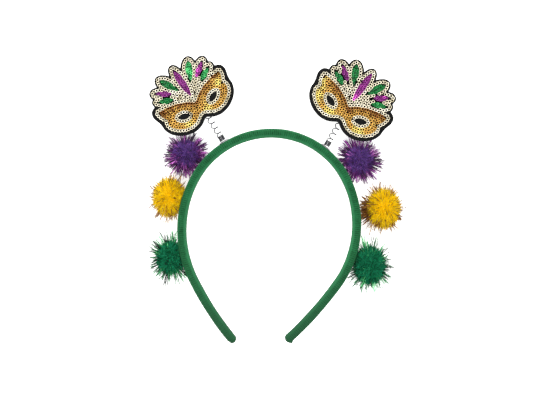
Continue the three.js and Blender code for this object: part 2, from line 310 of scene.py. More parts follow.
@dataclass
class NodeSheet:
    """A node tree, with short ways to add nodes and wire them."""

    tree: NodeTree

    def add(self, kind: str, inputs: Inputs | None = None, **settings: object) -> Node:
        """Adds a node.

        Args:
            kind: The node's type.
            inputs: What goes into each input: a plain value, or the socket that feeds it.
            **settings: The node's own properties.

        Returns:
            The new node.
        """
        node = self.tree.nodes.new(kind)
        for name, value in settings.items():
            setattr(node, name, value)
        self.plug(node, inputs or {})
        return node

    def plug(self, node: Node, inputs: Inputs) -> None:
        """Feeds several of a node's inputs."""
        for key, value in inputs.items():
            self.feed(node.inputs[key], value)

    def feed(self, socket: NodeSocket, value: Value) -> None:
        """Wires a socket into an input, or sets the input to a plain value."""
        if isinstance(value, NodeSocket):
            self.tree.links.new(value, socket)
        else:
            socket.default_value = value

    def attribute(self, name: str) -> NodeSocket:
        """The value of one of the piece's own attributes."""
        return self.add("ShaderNodeAttribute", attribute_name=name).outputs["Fac"]

    def noise(self, scale: Value, detail: float) -> NodeSocket:
        """Noise from 0 to 1, on Object coordinates."""
        place = self.add("ShaderNodeTexCoord").outputs["Object"]
        inputs = {"Vector": place, "Scale": scale, "Detail": detail}
        return self.add("ShaderNodeTexNoise", inputs).outputs["Fac"]

    def maths(self, operation: str, *terms: Value) -> NodeSocket:
        """One operation on up to three terms."""
        return self.add("ShaderNodeMath", dict(enumerate(terms)), operation=operation).outputs[0]

    def rescale(self, value: Value, low: float, high: float, to_low: float, to_high: float) -> NodeSocket:
        """A value from low to high brought to another range, smoothly and clamped."""
        ends = {"From Min": low, "From Max": high, "To Min": to_low, "To Max": to_high}
        node = self.add("ShaderNodeMapRange", {"Value": value, **ends}, interpolation_type="SMOOTHSTEP")
        return node.outputs["Result"]

    def mix(self, share: Value, a: Value, b: Value) -> NodeSocket:
        """One colour blended into another."""
        node = self.add("ShaderNodeMix", data_type="RGBA")
        for socket, value in ((node.inputs[0], share), (node.inputs[6], a), (node.inputs[7], b)):
            self.feed(socket, value)
        return node.outputs[2]

    def bump(self, height: Value, distance: float) -> NodeSocket:
        """A normal from a height, with its depth in metres."""
        inputs = {"Height": height, "Distance": distance, "Strength": 1}
        return self.add("ShaderNodeBump", inputs).outputs["Normal"]


def new_group(name: str, takes: dict[str, str], gives: dict[str, str]) -> NodeTree:
    """A new node group.

    Args:
        name: The group's name.
        takes: The kind of each input, by its label.
        gives: The kind of each output, by its label.

    Returns:
        The group, with its sockets and no nodes.
    """
    tree = bpy.data.node_groups.new(name, "ShaderNodeTree")
    for way, sockets in (("INPUT", takes), ("OUTPUT", gives)):
        for label, kind in sockets.items():
            tree.interface.new_socket(label, in_out=way, socket_type=f"NodeSocket{kind}")
    return tree


class FibreGrain:
    """Shared effect of matted fibre: two tones in fine and broad patches, and a height to bump."""

    name = "fibre_grain"
    broad_scale = 0.08
    fine_share = 0.65

    @classmethod
    def group(cls) -> NodeTree:
        """The node group, made at its first use."""
        if cls.name in bpy.data.node_groups:
            return bpy.data.node_groups[cls.name]
        takes = {"Deep": "Color", "Body": "Color", "Scale": "Float"}
        tree = new_group(cls.name, takes, {"Colour": "Color", "Height": "Float"})
        sheet = NodeSheet(tree)
        given = sheet.add("NodeGroupInput").outputs
        fine = sheet.noise(given["Scale"], detail=4)
        broad = sheet.noise(sheet.maths("MULTIPLY", given["Scale"], cls.broad_scale), detail=2)
        most = sheet.maths("MULTIPLY", fine, cls.fine_share)
        both = sheet.maths("ADD", most, sheet.maths("MULTIPLY", broad, 1 - cls.fine_share))
        colour = sheet.mix(sheet.rescale(both, 0.3, 0.68, 0, 1), given["Deep"], given["Body"])
        sheet.add("NodeGroupOutput", {"Colour": colour, "Height": fine})
        return tree

    @classmethod
    def laid(cls, sheet: NodeSheet, deep: str, body: str, scale: float) -> NodeOutputs:
        """The effect's outputs on a material's sheet, for two tones and the scale of the fibres."""
        inputs = {"Deep": linear(deep), "Body": linear(body), "Scale": scale}
        return sheet.add("ShaderNodeGroup", inputs, node_tree=cls.group()).outputs


class FoilGlint:
    """Shared effect of foil: each flake's shade, a painted reflection from deep to glint, and a patchy
    polish.
    """

    name = "foil_glint"
    patch = 0.7 * MM
    patchiness = 0.3

    @classmethod
    def group(cls) -> NodeTree:
        """The node group, made at its first use."""
        if cls.name in bpy.data.node_groups:
            return bpy.data.node_groups[cls.name]
        takes = {"Deep": "Color", "Body": "Color", "Glint": "Color", "Shade": "Float"}
        tree = new_group(cls.name, takes, {"Colour": "Color", "Roughness": "Float"})
        sheet = NodeSheet(tree)
        given = sheet.add("NodeGroupInput").outputs
        patchy = sheet.noise(1 / cls.patch, detail=2)
        offset = sheet.maths("SUBTRACT", patchy, 0.5)
        shade = sheet.maths("MULTIPLY_ADD", offset, cls.patchiness, given["Shade"])
        dark = sheet.mix(sheet.rescale(shade, 0, 0.5, 0, 1), given["Deep"], given["Body"])
        colour = sheet.mix(sheet.rescale(shade, 0.6, 1, 0, 1), dark, given["Glint"])
        polish = sheet.rescale(patchy, 0.3, 0.7, 0.22, 0.4)
        sheet.add("NodeGroupOutput", {"Colour": colour, "Roughness": polish})
        return tree


def new_material(name: str) -> tuple[NodeSheet, Node, Material]:
    """A new node material: its sheet, its Principled shader and itself."""
    material = bpy.data.materials.new(name)
    material.use_nodes = True
    return NodeSheet(material.node_tree), material.node_tree.nodes["Principled BSDF"], material


# Finishes


@dataclass(frozen=True)
class RibbedCloth:
    """Green ribbed ribbon cloth: ribs across the band with painted shade in their grooves, painted highlights
    along its inner and outer sides, darker towards the open ends, and a fine weave with painted shade between
    its threads.
    """

    deep: str = "#113f22"
    body: str = "#20613a"
    # painted highlight along the band's inner and outer sides
    edge: str = "#30704a"
    # darker towards the band's open ends
    end_tone: str = "#1e3f2a"
    # painted shade in the grooves between the ribs
    groove: str = "#04180b"
    pitch: float = 1.5 * MM
    thread: float = 0.5 * MM
    fuzz: float = 0.5 * MM
    patch: float = 1.3 * MM
    relief: float = 0.12 * MM
    groove_share: float = 0.74

    def material(self) -> Material:
        """The cloth, on the attributes along, outer and tip."""
        sheet, surface, material = new_material("ribbed_cloth")
        grain = FibreGrain.laid(sheet, self.deep, self.body, 1 / self.fuzz)
        turns = sheet.maths("MULTIPLY", sheet.attribute("along"), 2 * math.pi / self.pitch)
        groove = sheet.rescale(sheet.maths("COSINE", turns), -1, 0.2, 1, 0)
        patch = sheet.rescale(sheet.noise(1 / self.patch, detail=2), 0.35, 0.62, 0.45, 1)
        across = sheet.maths("ABSOLUTE", sheet.attribute("outer"))
        strip = sheet.rescale(across, 0.35, 0.8, 1, 0.15)
        groove = sheet.maths("MULTIPLY", sheet.maths("MULTIPLY", groove, patch), strip)
        threads = sheet.maths("MULTIPLY", sheet.attribute("along"), 2 * math.pi / self.thread)
        # Painted shade between the threads: the gaps are darkened towards the deep colour.
        gap = sheet.rescale(sheet.maths("COSINE", threads), -1, 1, 0.3, 0)
        woven = sheet.mix(gap, grain["Colour"], linear(self.deep))
        # Painted shade: the grooves between the ribs are darkened towards the groove colour.
        ribbed = sheet.mix(sheet.maths("MULTIPLY", groove, self.groove_share), woven, linear(self.groove))
        # Painted highlight: the band's inner and outer sides are paler, towards the edge colour.
        side_highlighted = sheet.mix(sheet.rescale(across, 0.4, 0.95, 0, 0.6), ribbed, linear(self.edge))
        # Darker towards the band's open ends, by the attribute tip.
        end_toned = sheet.mix(sheet.rescale(sheet.attribute("tip"), 0, 1, 0, 0.7), side_highlighted, linear(self.end_tone))
        sunk = sheet.maths("ADD", sheet.maths("MULTIPLY", groove, 0.6), gap)
        weave = sheet.bump(sheet.maths("SUBTRACT", grain["Height"], sunk), self.relief)
        sheet.plug(surface, {"Base Color": end_toned, "Normal": weave})
        sheet.plug(surface, {"Roughness": 0.82, "Specular IOR Level": 0.06})
        return material


@dataclass(frozen=True)
class BlackFelt:
    """Matted black felt."""

    deep: str = "#060606"
    body: str = "#191a1a"
    fuzz: float = 0.35 * MM
    relief: float = 0.2 * MM

    def material(self) -> Material:
        """The felt, with its fibres as bump."""
        sheet, surface, material = new_material("black_felt")
        grain = FibreGrain.laid(sheet, self.deep, self.body, 1 / self.fuzz)
        fibres = sheet.bump(grain["Height"], self.relief)
        sheet.plug(surface, {"Base Color": grain["Colour"], "Normal": fibres})
        sheet.plug(surface, {"Roughness": 0.95, "Specular IOR Level": 0.04})
        return material


@dataclass(frozen=True)
class SpringSteel:
    """Thin bright steel, a little scuffed."""

    name: str
    dark: str
    bright: str
    scuff: float = 0.5 * MM

    def material(self) -> Material:
        """The steel, with scuffs in its colour and polish."""
        sheet, surface, material = new_material(self.name)
        scuff = sheet.noise(1 / self.scuff, detail=4)
        colour = sheet.mix(sheet.rescale(scuff, 0.3, 0.7, 0, 1), linear(self.dark), linear(self.bright))
        polish = sheet.rescale(scuff, 0.3, 0.7, 0.42, 0.2)
        sheet.plug(surface, {"Base Color": colour, "Roughness": polish, "Metallic": 1})
        return material


@dataclass(frozen=True)
class PlasticFoil:
    """Metallic plastic foil, stamped into sequins or cut into the strips of a pompom."""

    name: str
    deep: str
    body: str
    glint: str
    metallic: float = 0.45

    def material(self) -> Material:
        """The foil, on the attribute shade."""
        sheet, surface, material = new_material(self.name)
        inputs = {"Deep": linear(self.deep), "Body": linear(self.body), "Glint": linear(self.glint)}
        inputs["Shade"] = sheet.attribute("shade")
        foil = sheet.add("ShaderNodeGroup", inputs, node_tree=FoilGlint.group()).outputs
        sheet.plug(surface, {"Base Color": foil["Colour"], "Roughness": foil["Roughness"]})
        sheet.plug(surface, {"Metallic": self.metallic})
        return material


@dataclass(frozen=True)
class SewnGround:
    """The thread and cloth that sequins are sewn to, seen in their holes, darkened partly with painted shade.
    """

    name: str
    deep: str
    body: str
    stitch: float = 0.2 * MM
    relief: float = 0.1 * MM

    def material(self) -> Material:
        """The ground, as fine stitches."""
        sheet, surface, material = new_material(self.name)
        grain = FibreGrain.laid(sheet, self.deep, self.body, 1 / self.stitch)
        stitches = sheet.bump(grain["Height"], self.relief)
        sheet.plug(surface, {"Base Color": grain["Colour"], "Normal": stitches})
        sheet.plug(surface, {"Roughness": 0.9, "Specular IOR Level": 0.02})
        return material


@dataclass(frozen=True)
class Fluff:
    """Soft pompom fibre, with painted shade towards its roots."""

    name: str
    deep: str
    body: str
    tip: str
    patch: float = 3 * MM

    def material(self) -> Material:
        """The fibre, on the attributes reach and shade."""
        sheet, surface, material = new_material(self.name)
        reach = sheet.attribute("reach")
        # Painted shade: the fibres run from the deep colour at their roots to the body colour further out.
        lit = sheet.mix(sheet.rescale(reach, 0.2, 0.85, 0, 1), linear(self.deep), linear(self.body))
        shade = sheet.attribute("shade")
        pale = sheet.mix(sheet.rescale(shade, 0.4, 1, 0, 0.8), lit, linear(self.tip))
        dull = sheet.mix(sheet.rescale(shade, 0, 0.35, 0.6, 0), pale, linear(self.deep))
        patch = sheet.noise(1 / self.patch, detail=2)
        colour = sheet.mix(sheet.rescale(patch, 0.35, 0.65, 0.35, 0), dull, linear(self.deep))
        sheet.plug(surface, {"Base Color": colour, "Roughness": 0.85, "Specular IOR Level": 0.05})
        return material


# Deep, body and glint: the range of painted reflection that each sequin's shade picks from.
SEQUIN_FOILS = {
    Foil.GOLD: PlasticFoil("gold_foil", deep="#865018", body="#deae52", glint="#ffe880"),
    Foil.PALE: PlasticFoil("pale_foil", deep="#b8ac86", body="#ece3c8", glint="#fffae8", metallic=0.2),
    Foil.GREEN: PlasticFoil("green_foil", deep="#064a20", body="#0c7a38", glint="#6af08e"),
    Foil.PURPLE: PlasticFoil("purple_foil", deep="#4c0e48", body="#842a7c", glint="#f05ad8"),
}
# Very dark: partly the thread's own colour, partly painted shade in the sequins' holes.
SEWN_GROUNDS = {
    Foil.GOLD: SewnGround("gold_ground", deep="#0c0500", body="#1e0f03"),
    Foil.PALE: SewnGround("pale_ground", deep="#010101", body="#090807"),
    Foil.GREEN: SewnGround("green_ground", deep="#021709", body="#063014"),
    Foil.PURPLE: SewnGround("purple_ground", deep="#160214", body="#330a30"),
}
FLUFFS = {
    Hue.PURPLE: Fluff("purple_fluff", deep="#2d1848", body="#6f4a9c", tip="#9870c4"),
    Hue.YELLOW: Fluff("yellow_fluff", deep="#d8a600", body="#fad400", tip="#ffe838"),
    Hue.GREEN: Fluff("green_fluff", deep="#063f26", body="#128054", tip="#2fa478"),
}
# Deep, body and glint: the painted shade and painted glints of the strips.
TINSELS = {
    Hue.PURPLE: PlasticFoil("purple_tinsel", deep="#1d0a26", body="#6a2474", glint="#dc7cda", metallic=0.5),
    Hue.YELLOW: PlasticFoil("yellow_tinsel", deep="#5a3210", body="#9a6a1c", glint="#e8c458", metallic=0.5),
    Hue.GREEN: PlasticFoil("green_tinsel", deep="#062414", body="#107040", glint="#6cdc8c", metallic=0.5),
}


# Band


@dataclass(frozen=True)
class Arc:
    """One arc of the band's middle line: its radius, and its sweep in radians."""

    radius: float
    sweep: float


@dataclass(frozen=True)
class Stretch:
    """An arc in its place: distance and turn from the crown to its start, and its centre in plan."""

    arc: Arc
    along: float
    turn: float
    centre: Vector


@dataclass(frozen=True)
class Hoop:
    """The band's middle line, in arcs from the crown to each open end."""

    crown: Vector
    arcs: dict[Side, tuple[Arc, ...]]

    @staticmethod
    def outward(side: Side, turn: float) -> Vector:
        """The direction out of the hoop after a turn from the crown."""
        return Vector((side.sign * math.sin(turn), math.cos(turn), 0))

    def length(self, side: Side) -> float:
        """Distance from the crown to one open end."""
        return sum(arc.radius * arc.sweep for arc in self.arcs[side])

    def stretches(self, side: Side) -> Iterator[Stretch]:
        """The arcs of one side in their places."""
        middle, along, turn = self.crown.copy(), 0.0, 0.0
        for arc in self.arcs[side]:
            centre = middle - self.outward(side, turn) * arc.radius
            yield Stretch(arc, along, turn, centre)
            along += arc.radius * arc.sweep
            turn += arc.sweep
            middle = centre + self.outward(side, turn) * arc.radius

    def stretch_at(self, side: Side, along: float) -> Stretch:
        """The arc at a distance from the crown."""
        return [stretch for stretch in self.stretches(side) if stretch.along <= along][-1]

    def place(self, side: Side, along: float) -> tuple[Vector, Vector]:
        """A point of the middle line.

        Args:
            side: Which half of the hoop.
            along: Distance from the crown.

        Returns:
            The point, and the direction out of the hoop there.
        """
        stretch = self.stretch_at(side, along)
        out = self.outward(side, stretch.turn + (along - stretch.along) / stretch.arc.radius)
        return stretch.centre + out * stretch.arc.radius, out

    def locate(self, points: np.ndarray) -> tuple[np.ndarray, np.ndarray, np.ndarray]:
        """Where points lie along and across the band.

        Args:
            points: One row for each point.

        Returns:
            Distance from the crown, negative on the left, then distance out of the middle line and above it.
        """
        along = np.zeros(len(points))
        out = np.zeros(len(points))
        for side in Side:
            mine = (points[:, 0] - self.crown.x) * side.sign >= 0
            for stretch in self.stretches(side):
                dx = (points[:, 0] - stretch.centre.x) * side.sign
                dy = points[:, 1] - stretch.centre.y
                turn = np.arctan2(dx, dy)
                turn = np.where(turn < -math.pi / 2, turn + 2 * math.pi, turn)
                reached = mine & ((turn >= stretch.turn) | (stretch.along == 0))
                run = stretch.along + (turn - stretch.turn) * stretch.arc.radius
                along = np.where(reached, side.sign * run, along)
                out = np.where(reached, np.hypot(dx, dy) - stretch.arc.radius, out)
        return along, out, points[:, 2] - self.crown.z


@dataclass
class Band:
    """The padded hoop in its ribbed cloth cover."""

    hoop: Hoop
    finish: RibbedCloth
    thickness: float = 6.4 * MM
    width: float = 9 * MM
    inner_nap: float = 0.3 * MM
    flatness: float = 0.9
    tip_round: float = 3 * MM
    corners: int = 26
    steps_per_rib: int = 4
    rib_depth: float = 0.11 * MM
    tip_rings: tuple[float, ...] = (0.25, 0.5, 0.72, 0.88, 0.97)
    uneven: float = 0.08 * MM
    waves: tuple[float, float] = (7.3 * MM, 11 * MM)
    seam_depth: float = 0.16 * MM
    seam_angle: float = 2.2
    seam_spread: float = 0.07
    # How far each cloth end is pulled off the band, and how far that reaches along it
    cloth_ends: tuple[tuple[Side, float, float], ...] = (
        (Side.RIGHT, 1.1 * MM, 0.9 * MM),
        (Side.LEFT, -0.7 * MM, 0.8 * MM),
    )
    end_inset: float = 2.4 * MM
    end_angle: float = 0.35
    end_spread: float = 0.5
    end_tone_from: float = 0.55  # share of the way from the crown to an end
    end_tone_over: float = 0.45

    def section_point(self, angle: float, extra: float = 0) -> tuple[float, float]:
        """A point of the section at an angle: out of the hoop and up. It is domed outside and flat inside."""
        out, up = math.cos(angle), math.sin(angle)
        reach = self.thickness / 2 + extra
        if out < 0:
            out = -math.sqrt(-out)
            up = math.copysign(abs(up) ** self.flatness, up)
            reach += self.inner_nap
        return out * reach, up * (self.width / 2 + extra)

    def add_section(self, side: Side, along: float, extra: float = 0) -> Object:
        """A ring of vertices round the band, in edit mode.

        Args:
            side: Which half of the hoop.
            along: Distance from the crown.
            extra: How far the ring stands off the band.

        Returns:
            The ring as a new object.
        """
        clear_selection()
        bpy.ops.mesh.primitive_circle_add(vertices=self.corners, radius=self.thickness / 2)
        ring = bpy.context.object
        middle, out = self.hoop.place(side, along)
        for k, vertex in enumerate(ring.data.vertices):
            x, z = self.section_point(2 * math.pi * k / self.corners, extra)
            vertex.co = middle + out * x + UP * z
        edit(ring)
        return ring

    def spin_side(self, side: Side) -> None:
        """Spins the picked ring from the crown to one open end, and rounds that end off."""
        step = self.finish.pitch / self.steps_per_rib
        shorter = self.tip_round / self.hoop.arcs[side][-1].radius
        for stretch in self.hoop.stretches(side):
            last = stretch.arc is self.hoop.arcs[side][-1]
            sweep = stretch.arc.sweep - (shorter if last else 0)
            steps = round(sweep * stretch.arc.radius / step)
            bpy.ops.mesh.spin(steps=steps, angle=side.sign * sweep, center=stretch.centre, axis=UP)
        begin = self.hoop.length(side) - self.tip_round
        size, (start, _) = 1.0, self.hoop.place(side, begin)
        for share in self.tip_rings:
            end, _ = self.hoop.place(side, begin + share * self.tip_round)
            extrude(end - start)
            smaller = math.sqrt(1 - share**2)
            ratio = smaller / size
            bpy.ops.transform.resize(value=(ratio, ratio, ratio), center_override=end)
            size, start = smaller, end
        bpy.ops.mesh.edge_face_add()

    def shape_cover(self, band: Object) -> None:
        """Raises the ribs, sinks the seam and works the two cloth ends."""
        points = points_of(band)
        along, out, up = self.hoop.locate(points)
        angle = np.arctan2(up / self.width, out / self.thickness)
        normal = self.section_normals(along, angle)
        rib = np.cos(2 * math.pi * along / self.finish.pitch) * np.abs(np.sin(angle)) ** 2
        long_wave, round_wave = self.waves
        uneven = self.uneven * np.sin(along / long_wave) * np.sin(angle * 2 + along / round_wave)
        seam = -self.seam_depth * np.exp(-(((angle - self.seam_angle) / self.seam_spread) ** 2))
        lift = self.rib_depth * rib + uneven + seam
        for side, pull, reach in self.cloth_ends:
            place = side.sign * (self.hoop.length(side) - self.end_inset)
            near = ((along - place) / reach) ** 2 + ((angle - self.end_angle) / self.end_spread) ** 2
            lift = lift + pull * np.exp(-near)
        move_points(band, points + normal * lift[:, None])
        store(band, "along", along)
        store(band, "outer", out / (self.thickness / 2))
        ends = np.where(along < 0, self.hoop.length(Side.LEFT), self.hoop.length(Side.RIGHT))
        store(band, "tip", np.clip((np.abs(along) / ends - self.end_tone_from) / self.end_tone_over, 0, 1))

    def section_normals(self, along: np.ndarray, angle: np.ndarray) -> np.ndarray:
        """Directions off the cover at places along the band and angles round it."""
        outs = np.array([self.hoop.place(Side.LEFT if a < 0 else Side.RIGHT, abs(a))[1] for a in along])
        return outs * np.cos(angle)[:, None] + np.array(UP) * np.sin(angle)[:, None]

    def build(self) -> None:
        """Builds the whole band."""
        band = self.add_section(Side.RIGHT, 0)
        band.name = "ribbed_band"
        self.spin_side(Side.RIGHT)
        pick(band, lambda place: abs(place.x - self.hoop.crown.x) < 1e-6)
        self.spin_side(Side.LEFT)
        close_up(band)
        self.shape_cover(band)
        smooth(band, 60)
        band.data.materials.append(self.finish.material())
        hand_over(band, "band", "headband")


# Springs


@dataclass
class SpringMount:
    """A coil spring on its saddle clip: close turns at the band, open turns behind the mask."""

    side: Side
    band: Band
    along: float
    lean: float
    wire_steel: Material
    clip_steel: Material
    blend_from: float = 5 * MM
    blend_to: float = 19 * MM
    tabbed: Side = Side.RIGHT
    clip_length: float = 7 * MM
    grip: float = 0.8
    coil_lean: float = 0.34
    sheet: float = 0.4 * MM
    clearance: float = 0.3 * MM
    diameter: float = 4.8 * MM
    wire: float = 0.7 * MM
    close_turns: int = 5
    close_pitch: float = 0.77 * MM
    open_turns: float = 5.25
    open_pitch: float = 4.2 * MM
    steps_per_turn: int = 24
    wire_sides: int = 8
    seated: float = 0.8  # share of the clearance that the first turn sinks by
    joint: float = 0.03  # share of the wire within which the two coils' ends merge
    clip_steps: int = 8
    clip_rim: float = 0.1 * MM
    tab_share: float = 0.28  # share of the band's width
    tab_reach: float = 0.6 * MM
    tab_bend: tuple[float, float] = (0.4 * MM, 1.3 * MM)

    @property
    def axis(self) -> Vector:
        """The spring's direction, away from the band."""
        return Vector((-math.sin(self.lean), math.cos(self.lean), 0))

    @property
    def foot(self) -> Vector:
        """Where the spring's axis meets the clip."""
        middle, out = self.band.hoop.place(self.side, self.along)
        return middle + out * (self.band.thickness / 2 + self.clearance + self.sheet)

    def coil(self, name: str, turns: float, pitch: float, start: float) -> Object:
        """One stretch of coil round Z.

        Args:
            name: The object's name.
            turns: Number of turns.
            pitch: Rise of one turn.
            start: Height of the wire's middle at its start.

        Returns:
            The coil, with open ends.
        """
        clear_selection()
        place = ((self.diameter - self.wire) / 2, 0, start)
        turned = (math.pi / 2, 0, 0)
        bpy.ops.mesh.primitive_circle_add(
            vertices=self.wire_sides, radius=self.wire / 2, location=place, rotation=turned
        )
        coil = bpy.context.object
        coil.name = name
        settle(coil)
        steps = round(turns * self.steps_per_turn)
        rise = turns * pitch
        modify(coil, "SCREW", angle=2 * math.pi * turns, screw_offset=rise, steps=steps, render_steps=steps)
        apply_modifiers(coil)
        return coil

    def build_spring(self) -> None:
        """Builds the spring, which runs from the band to the mask."""
        start = self.wire / 2 + self.clearance
        sunk = self.seated * self.clearance
        pitch = self.close_pitch + sunk / self.close_turns
        spring = self.coil(f"{self.side.value}_coil", self.close_turns, pitch, start - sunk)
        above = start + self.close_turns * self.close_pitch
        upper = self.coil(f"{self.side.value}_coil_top", self.open_turns, self.open_pitch, above)
        leaning = Matrix.Identity(4)
        leaning[2][1] = self.coil_lean
        upper.data.transform(leaning)
        activate(spring)
        upper.select_set(True)
        bpy.ops.object.join()
        edit(spring)
        bpy.ops.mesh.remove_doubles(threshold=self.joint * self.wire)
        bpy.ops.mesh.fill_holes(sides=self.wire_sides)
        bpy.ops.mesh.normals_make_consistent(inside=False)
        bpy.ops.object.mode_set(mode="OBJECT")
        turn = Matrix((UP.cross(self.axis), UP, self.axis)).transposed().to_4x4()
        spring.data.transform(Matrix.Translation(self.foot) @ turn)
        smooth(spring, 60)
        spring.data.materials.append(self.wire_steel)
        ends = [self.foot + self.axis * reach for reach in (self.blend_from, self.blend_to)]
        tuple(ends[0])
        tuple(ends[1])
        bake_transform(spring)
        hand_over(spring, f"{self.side.value}_spring", None)

    def build_clip(self) -> None:
        """Builds the saddle of sheet over the band's outer side. One side's has a tab bent up at its end."""
        start = self.along - self.clip_length / 2
        clip = self.band.add_section(self.side, start, self.clearance)
        clip.name = f"{self.side.value}_saddle"
        middle, out = self.band.hoop.place(self.side, start)
        pick(clip, lambda place: (place - middle).dot(out) < self.grip * self.band.thickness / 2)
        bpy.ops.mesh.delete(type="VERT")
        bpy.ops.mesh.select_all(action="SELECT")
        stretch = self.band.hoop.stretch_at(self.side, start)
        turn = self.side.sign * self.clip_length / stretch.arc.radius
        bpy.ops.mesh.spin(steps=self.clip_steps, angle=turn, center=stretch.centre, axis=UP)
        end, end_out = self.band.hoop.place(self.side, start + self.clip_length)
        run = end_out.cross(UP) * self.side.sign
        tab = self.tab_share * self.band.width
        if self.side is self.tabbed:
            pick(clip, lambda place: (place - end).dot(run) > -1e-6 and 0 < place.z - end.z < tab)
            extrude(run * self.tab_reach)
            onward, outward = self.tab_bend
            extrude(run * onward + end_out * outward)
        close_up(clip)
        modify(clip, "SOLIDIFY", thickness=self.sheet, offset=1)
        modify(clip, "BEVEL", width=self.clip_rim, segments=2)
        apply_modifiers(clip)
        smooth(clip, 35)
        clip.data.materials.append(self.clip_steel)
        hand_over(clip, f"{self.side.value}_spring_clip", "headband")


# Masks


SAME_PLACE = 0.001 * MM
ROW_STEP = 0.08 * MM  # between the points that a row is drawn through
ROW_SLACK = 0.04 * MM
ROW_BREAK = 0.6  # a gap in a row, as a share of its pitch


@dataclass
class Plot:
    """The plan of a flat CAD node: its edges as closed loops of points, the outer one first."""

    loops: list[np.ndarray]

    @classmethod
    def of_node(cls, node: str) -> "Plot":
        """Reads the edges of a node's upper face."""
        obj = frame["nodes"][node]
        points = points_of(obj)
        corners = points[triangles_of(obj)]
        normals = np.cross(corners[:, 1] - corners[:, 0], corners[:, 2] - corners[:, 0])
        top = corners[normals[:, 2] > 0.9 * np.linalg.norm(normals, axis=1)][:, :, :2]
        keys = [[tuple(np.round(p / SAME_PLACE).astype(int)) for p in triangle] for triangle in top]
        at = {key: p for triangle, row in zip(keys, top) for key, p in zip(triangle, row)}
        edges = {(t[i], t[(i + 1) % 3]) for t in keys for i in range(3)}
        onward = {a: b for a, b in edges if (b, a) not in edges}
        loops = []
        while onward:
            first, here = next(iter(onward.items()))
            del onward[first]
            loop = [first]
            while here != first:
                loop.append(here)
                here = onward.pop(here)
            loops.append(np.array([at[key] for key in loop]))
        loops.sort(key=lambda loop: -np.ptp(loop, axis=0).prod())
        return cls(loops)

    def distance(self, points: np.ndarray) -> np.ndarray:
        """How far each point lies from the nearest edge."""
        least = np.full(len(points), np.inf)
        for loop in self.loops:
            for start, end in zip(loop, np.roll(loop, -1, axis=0)):
                run = end - start
                share = np.clip((points - start) @ run / max(run @ run, 1e-18), 0, 1)
                least = np.minimum(least, np.linalg.norm(points - start - share[:, None] * run, axis=1))
        return least

    def holds(self, points: np.ndarray) -> np.ndarray:
        """Which points lie inside."""
        crossed = np.zeros(len(points), int)
        x, y = points[:, 0], points[:, 1]
        for loop in self.loops:
            for (x0, y0), (x1, y1) in zip(loop, np.roll(loop, -1, axis=0)):
                if y0 == y1:
                    continue
                spans = (y0 > y) != (y1 > y)
                crossed += spans & (x < x0 + (y - y0) * (x1 - x0) / (y1 - y0))
        return crossed % 2 == 1

    @staticmethod
    def dense_loop(loop: np.ndarray) -> tuple[np.ndarray, np.ndarray]:
        """A loop at close steps: its points, and the directions along it, with the inside on the left."""
        points, runs = [], []
        for start, end in zip(loop, np.roll(loop, -1, axis=0)):
            run = end - start
            count = max(1, round(float(np.linalg.norm(run)) / ROW_STEP))
            shares = (np.arange(count) + 0.5) / count
            points.append(start + shares[:, None] * run)
            runs.append(np.repeat((run / np.linalg.norm(run))[None], count, axis=0))
        return np.concatenate(points), np.concatenate(runs)

    def row(self, loop: np.ndarray, inset: float, pitch: float) -> np.ndarray:
        """Even places on a line at a distance inside one loop.

        Args:
            loop: The loop that the row follows.
            inset: How far inside it the row runs.
            pitch: Distance between places.

        Returns:
            Rows of x, y and the direction along the row.
        """
        edge, runs = self.dense_loop(loop)
        inward = np.stack([-runs[:, 1], runs[:, 0]], axis=1)
        line = edge + inward * inset
        good = self.holds(line) & (self.distance(line) > inset - ROW_SLACK)
        if not good.any():
            return np.empty((0, 3))
        line, runs = line[good], runs[good]
        gaps = np.linalg.norm(np.diff(line, axis=0), axis=1)
        breaks = np.flatnonzero(gaps > ROW_BREAK * pitch) + 1
        places = []
        for part, heading in zip(np.split(line, breaks), np.split(runs, breaks)):
            travelled = np.concatenate([[0], np.cumsum(np.linalg.norm(np.diff(part, axis=0), axis=1))])
            count = max(1, round(travelled[-1] / pitch))
            chosen = np.searchsorted(travelled, (np.arange(count) + 0.5) * travelled[-1] / count)
            chosen = np.minimum(chosen, len(part) - 1)
            angles = np.arctan2(heading[chosen, 1], heading[chosen, 0])
            places.append(np.column_stack([part[chosen], angles]))
        return np.concatenate(places)


@dataclass
class Sequin:
    """A cupped disc with a hole in its middle."""

    rim: float = 1.14 * MM
    dish: float = 0.98 * MM
    hole: float = 0.82 * MM
    cup: float = 0.2 * MM
    lip: float = 0.05 * MM
    sheet: float = 0.05 * MM
    sides: int = 10

    def model(self) -> tuple[np.ndarray, np.ndarray]:
        """One sequin round Z, as points and triangles."""
        clear_selection()
        bpy.ops.mesh.primitive_circle_add(vertices=self.sides, radius=self.rim, location=(0, 0, 0))
        sequin = bpy.context.object
        edit(sequin)
        for wider, narrower, drop in ((self.rim, self.dish, self.cup), (self.dish, self.hole, self.lip)):
            ratio = narrower / wider
            extrude(UP * -drop)
            bpy.ops.transform.resize(value=(ratio, ratio, 1), center_override=(0, 0, 0))
        bpy.ops.mesh.normals_make_consistent(inside=False)
        bpy.ops.object.mode_set(mode="OBJECT")
        modify(sequin, "SOLIDIFY", thickness=self.sheet)
        apply_modifiers(sequin)
        close_up(sequin)
        points, triangles = taken(sequin)
        points[:, 2] -= points[:, 2].min()
        return points, triangles


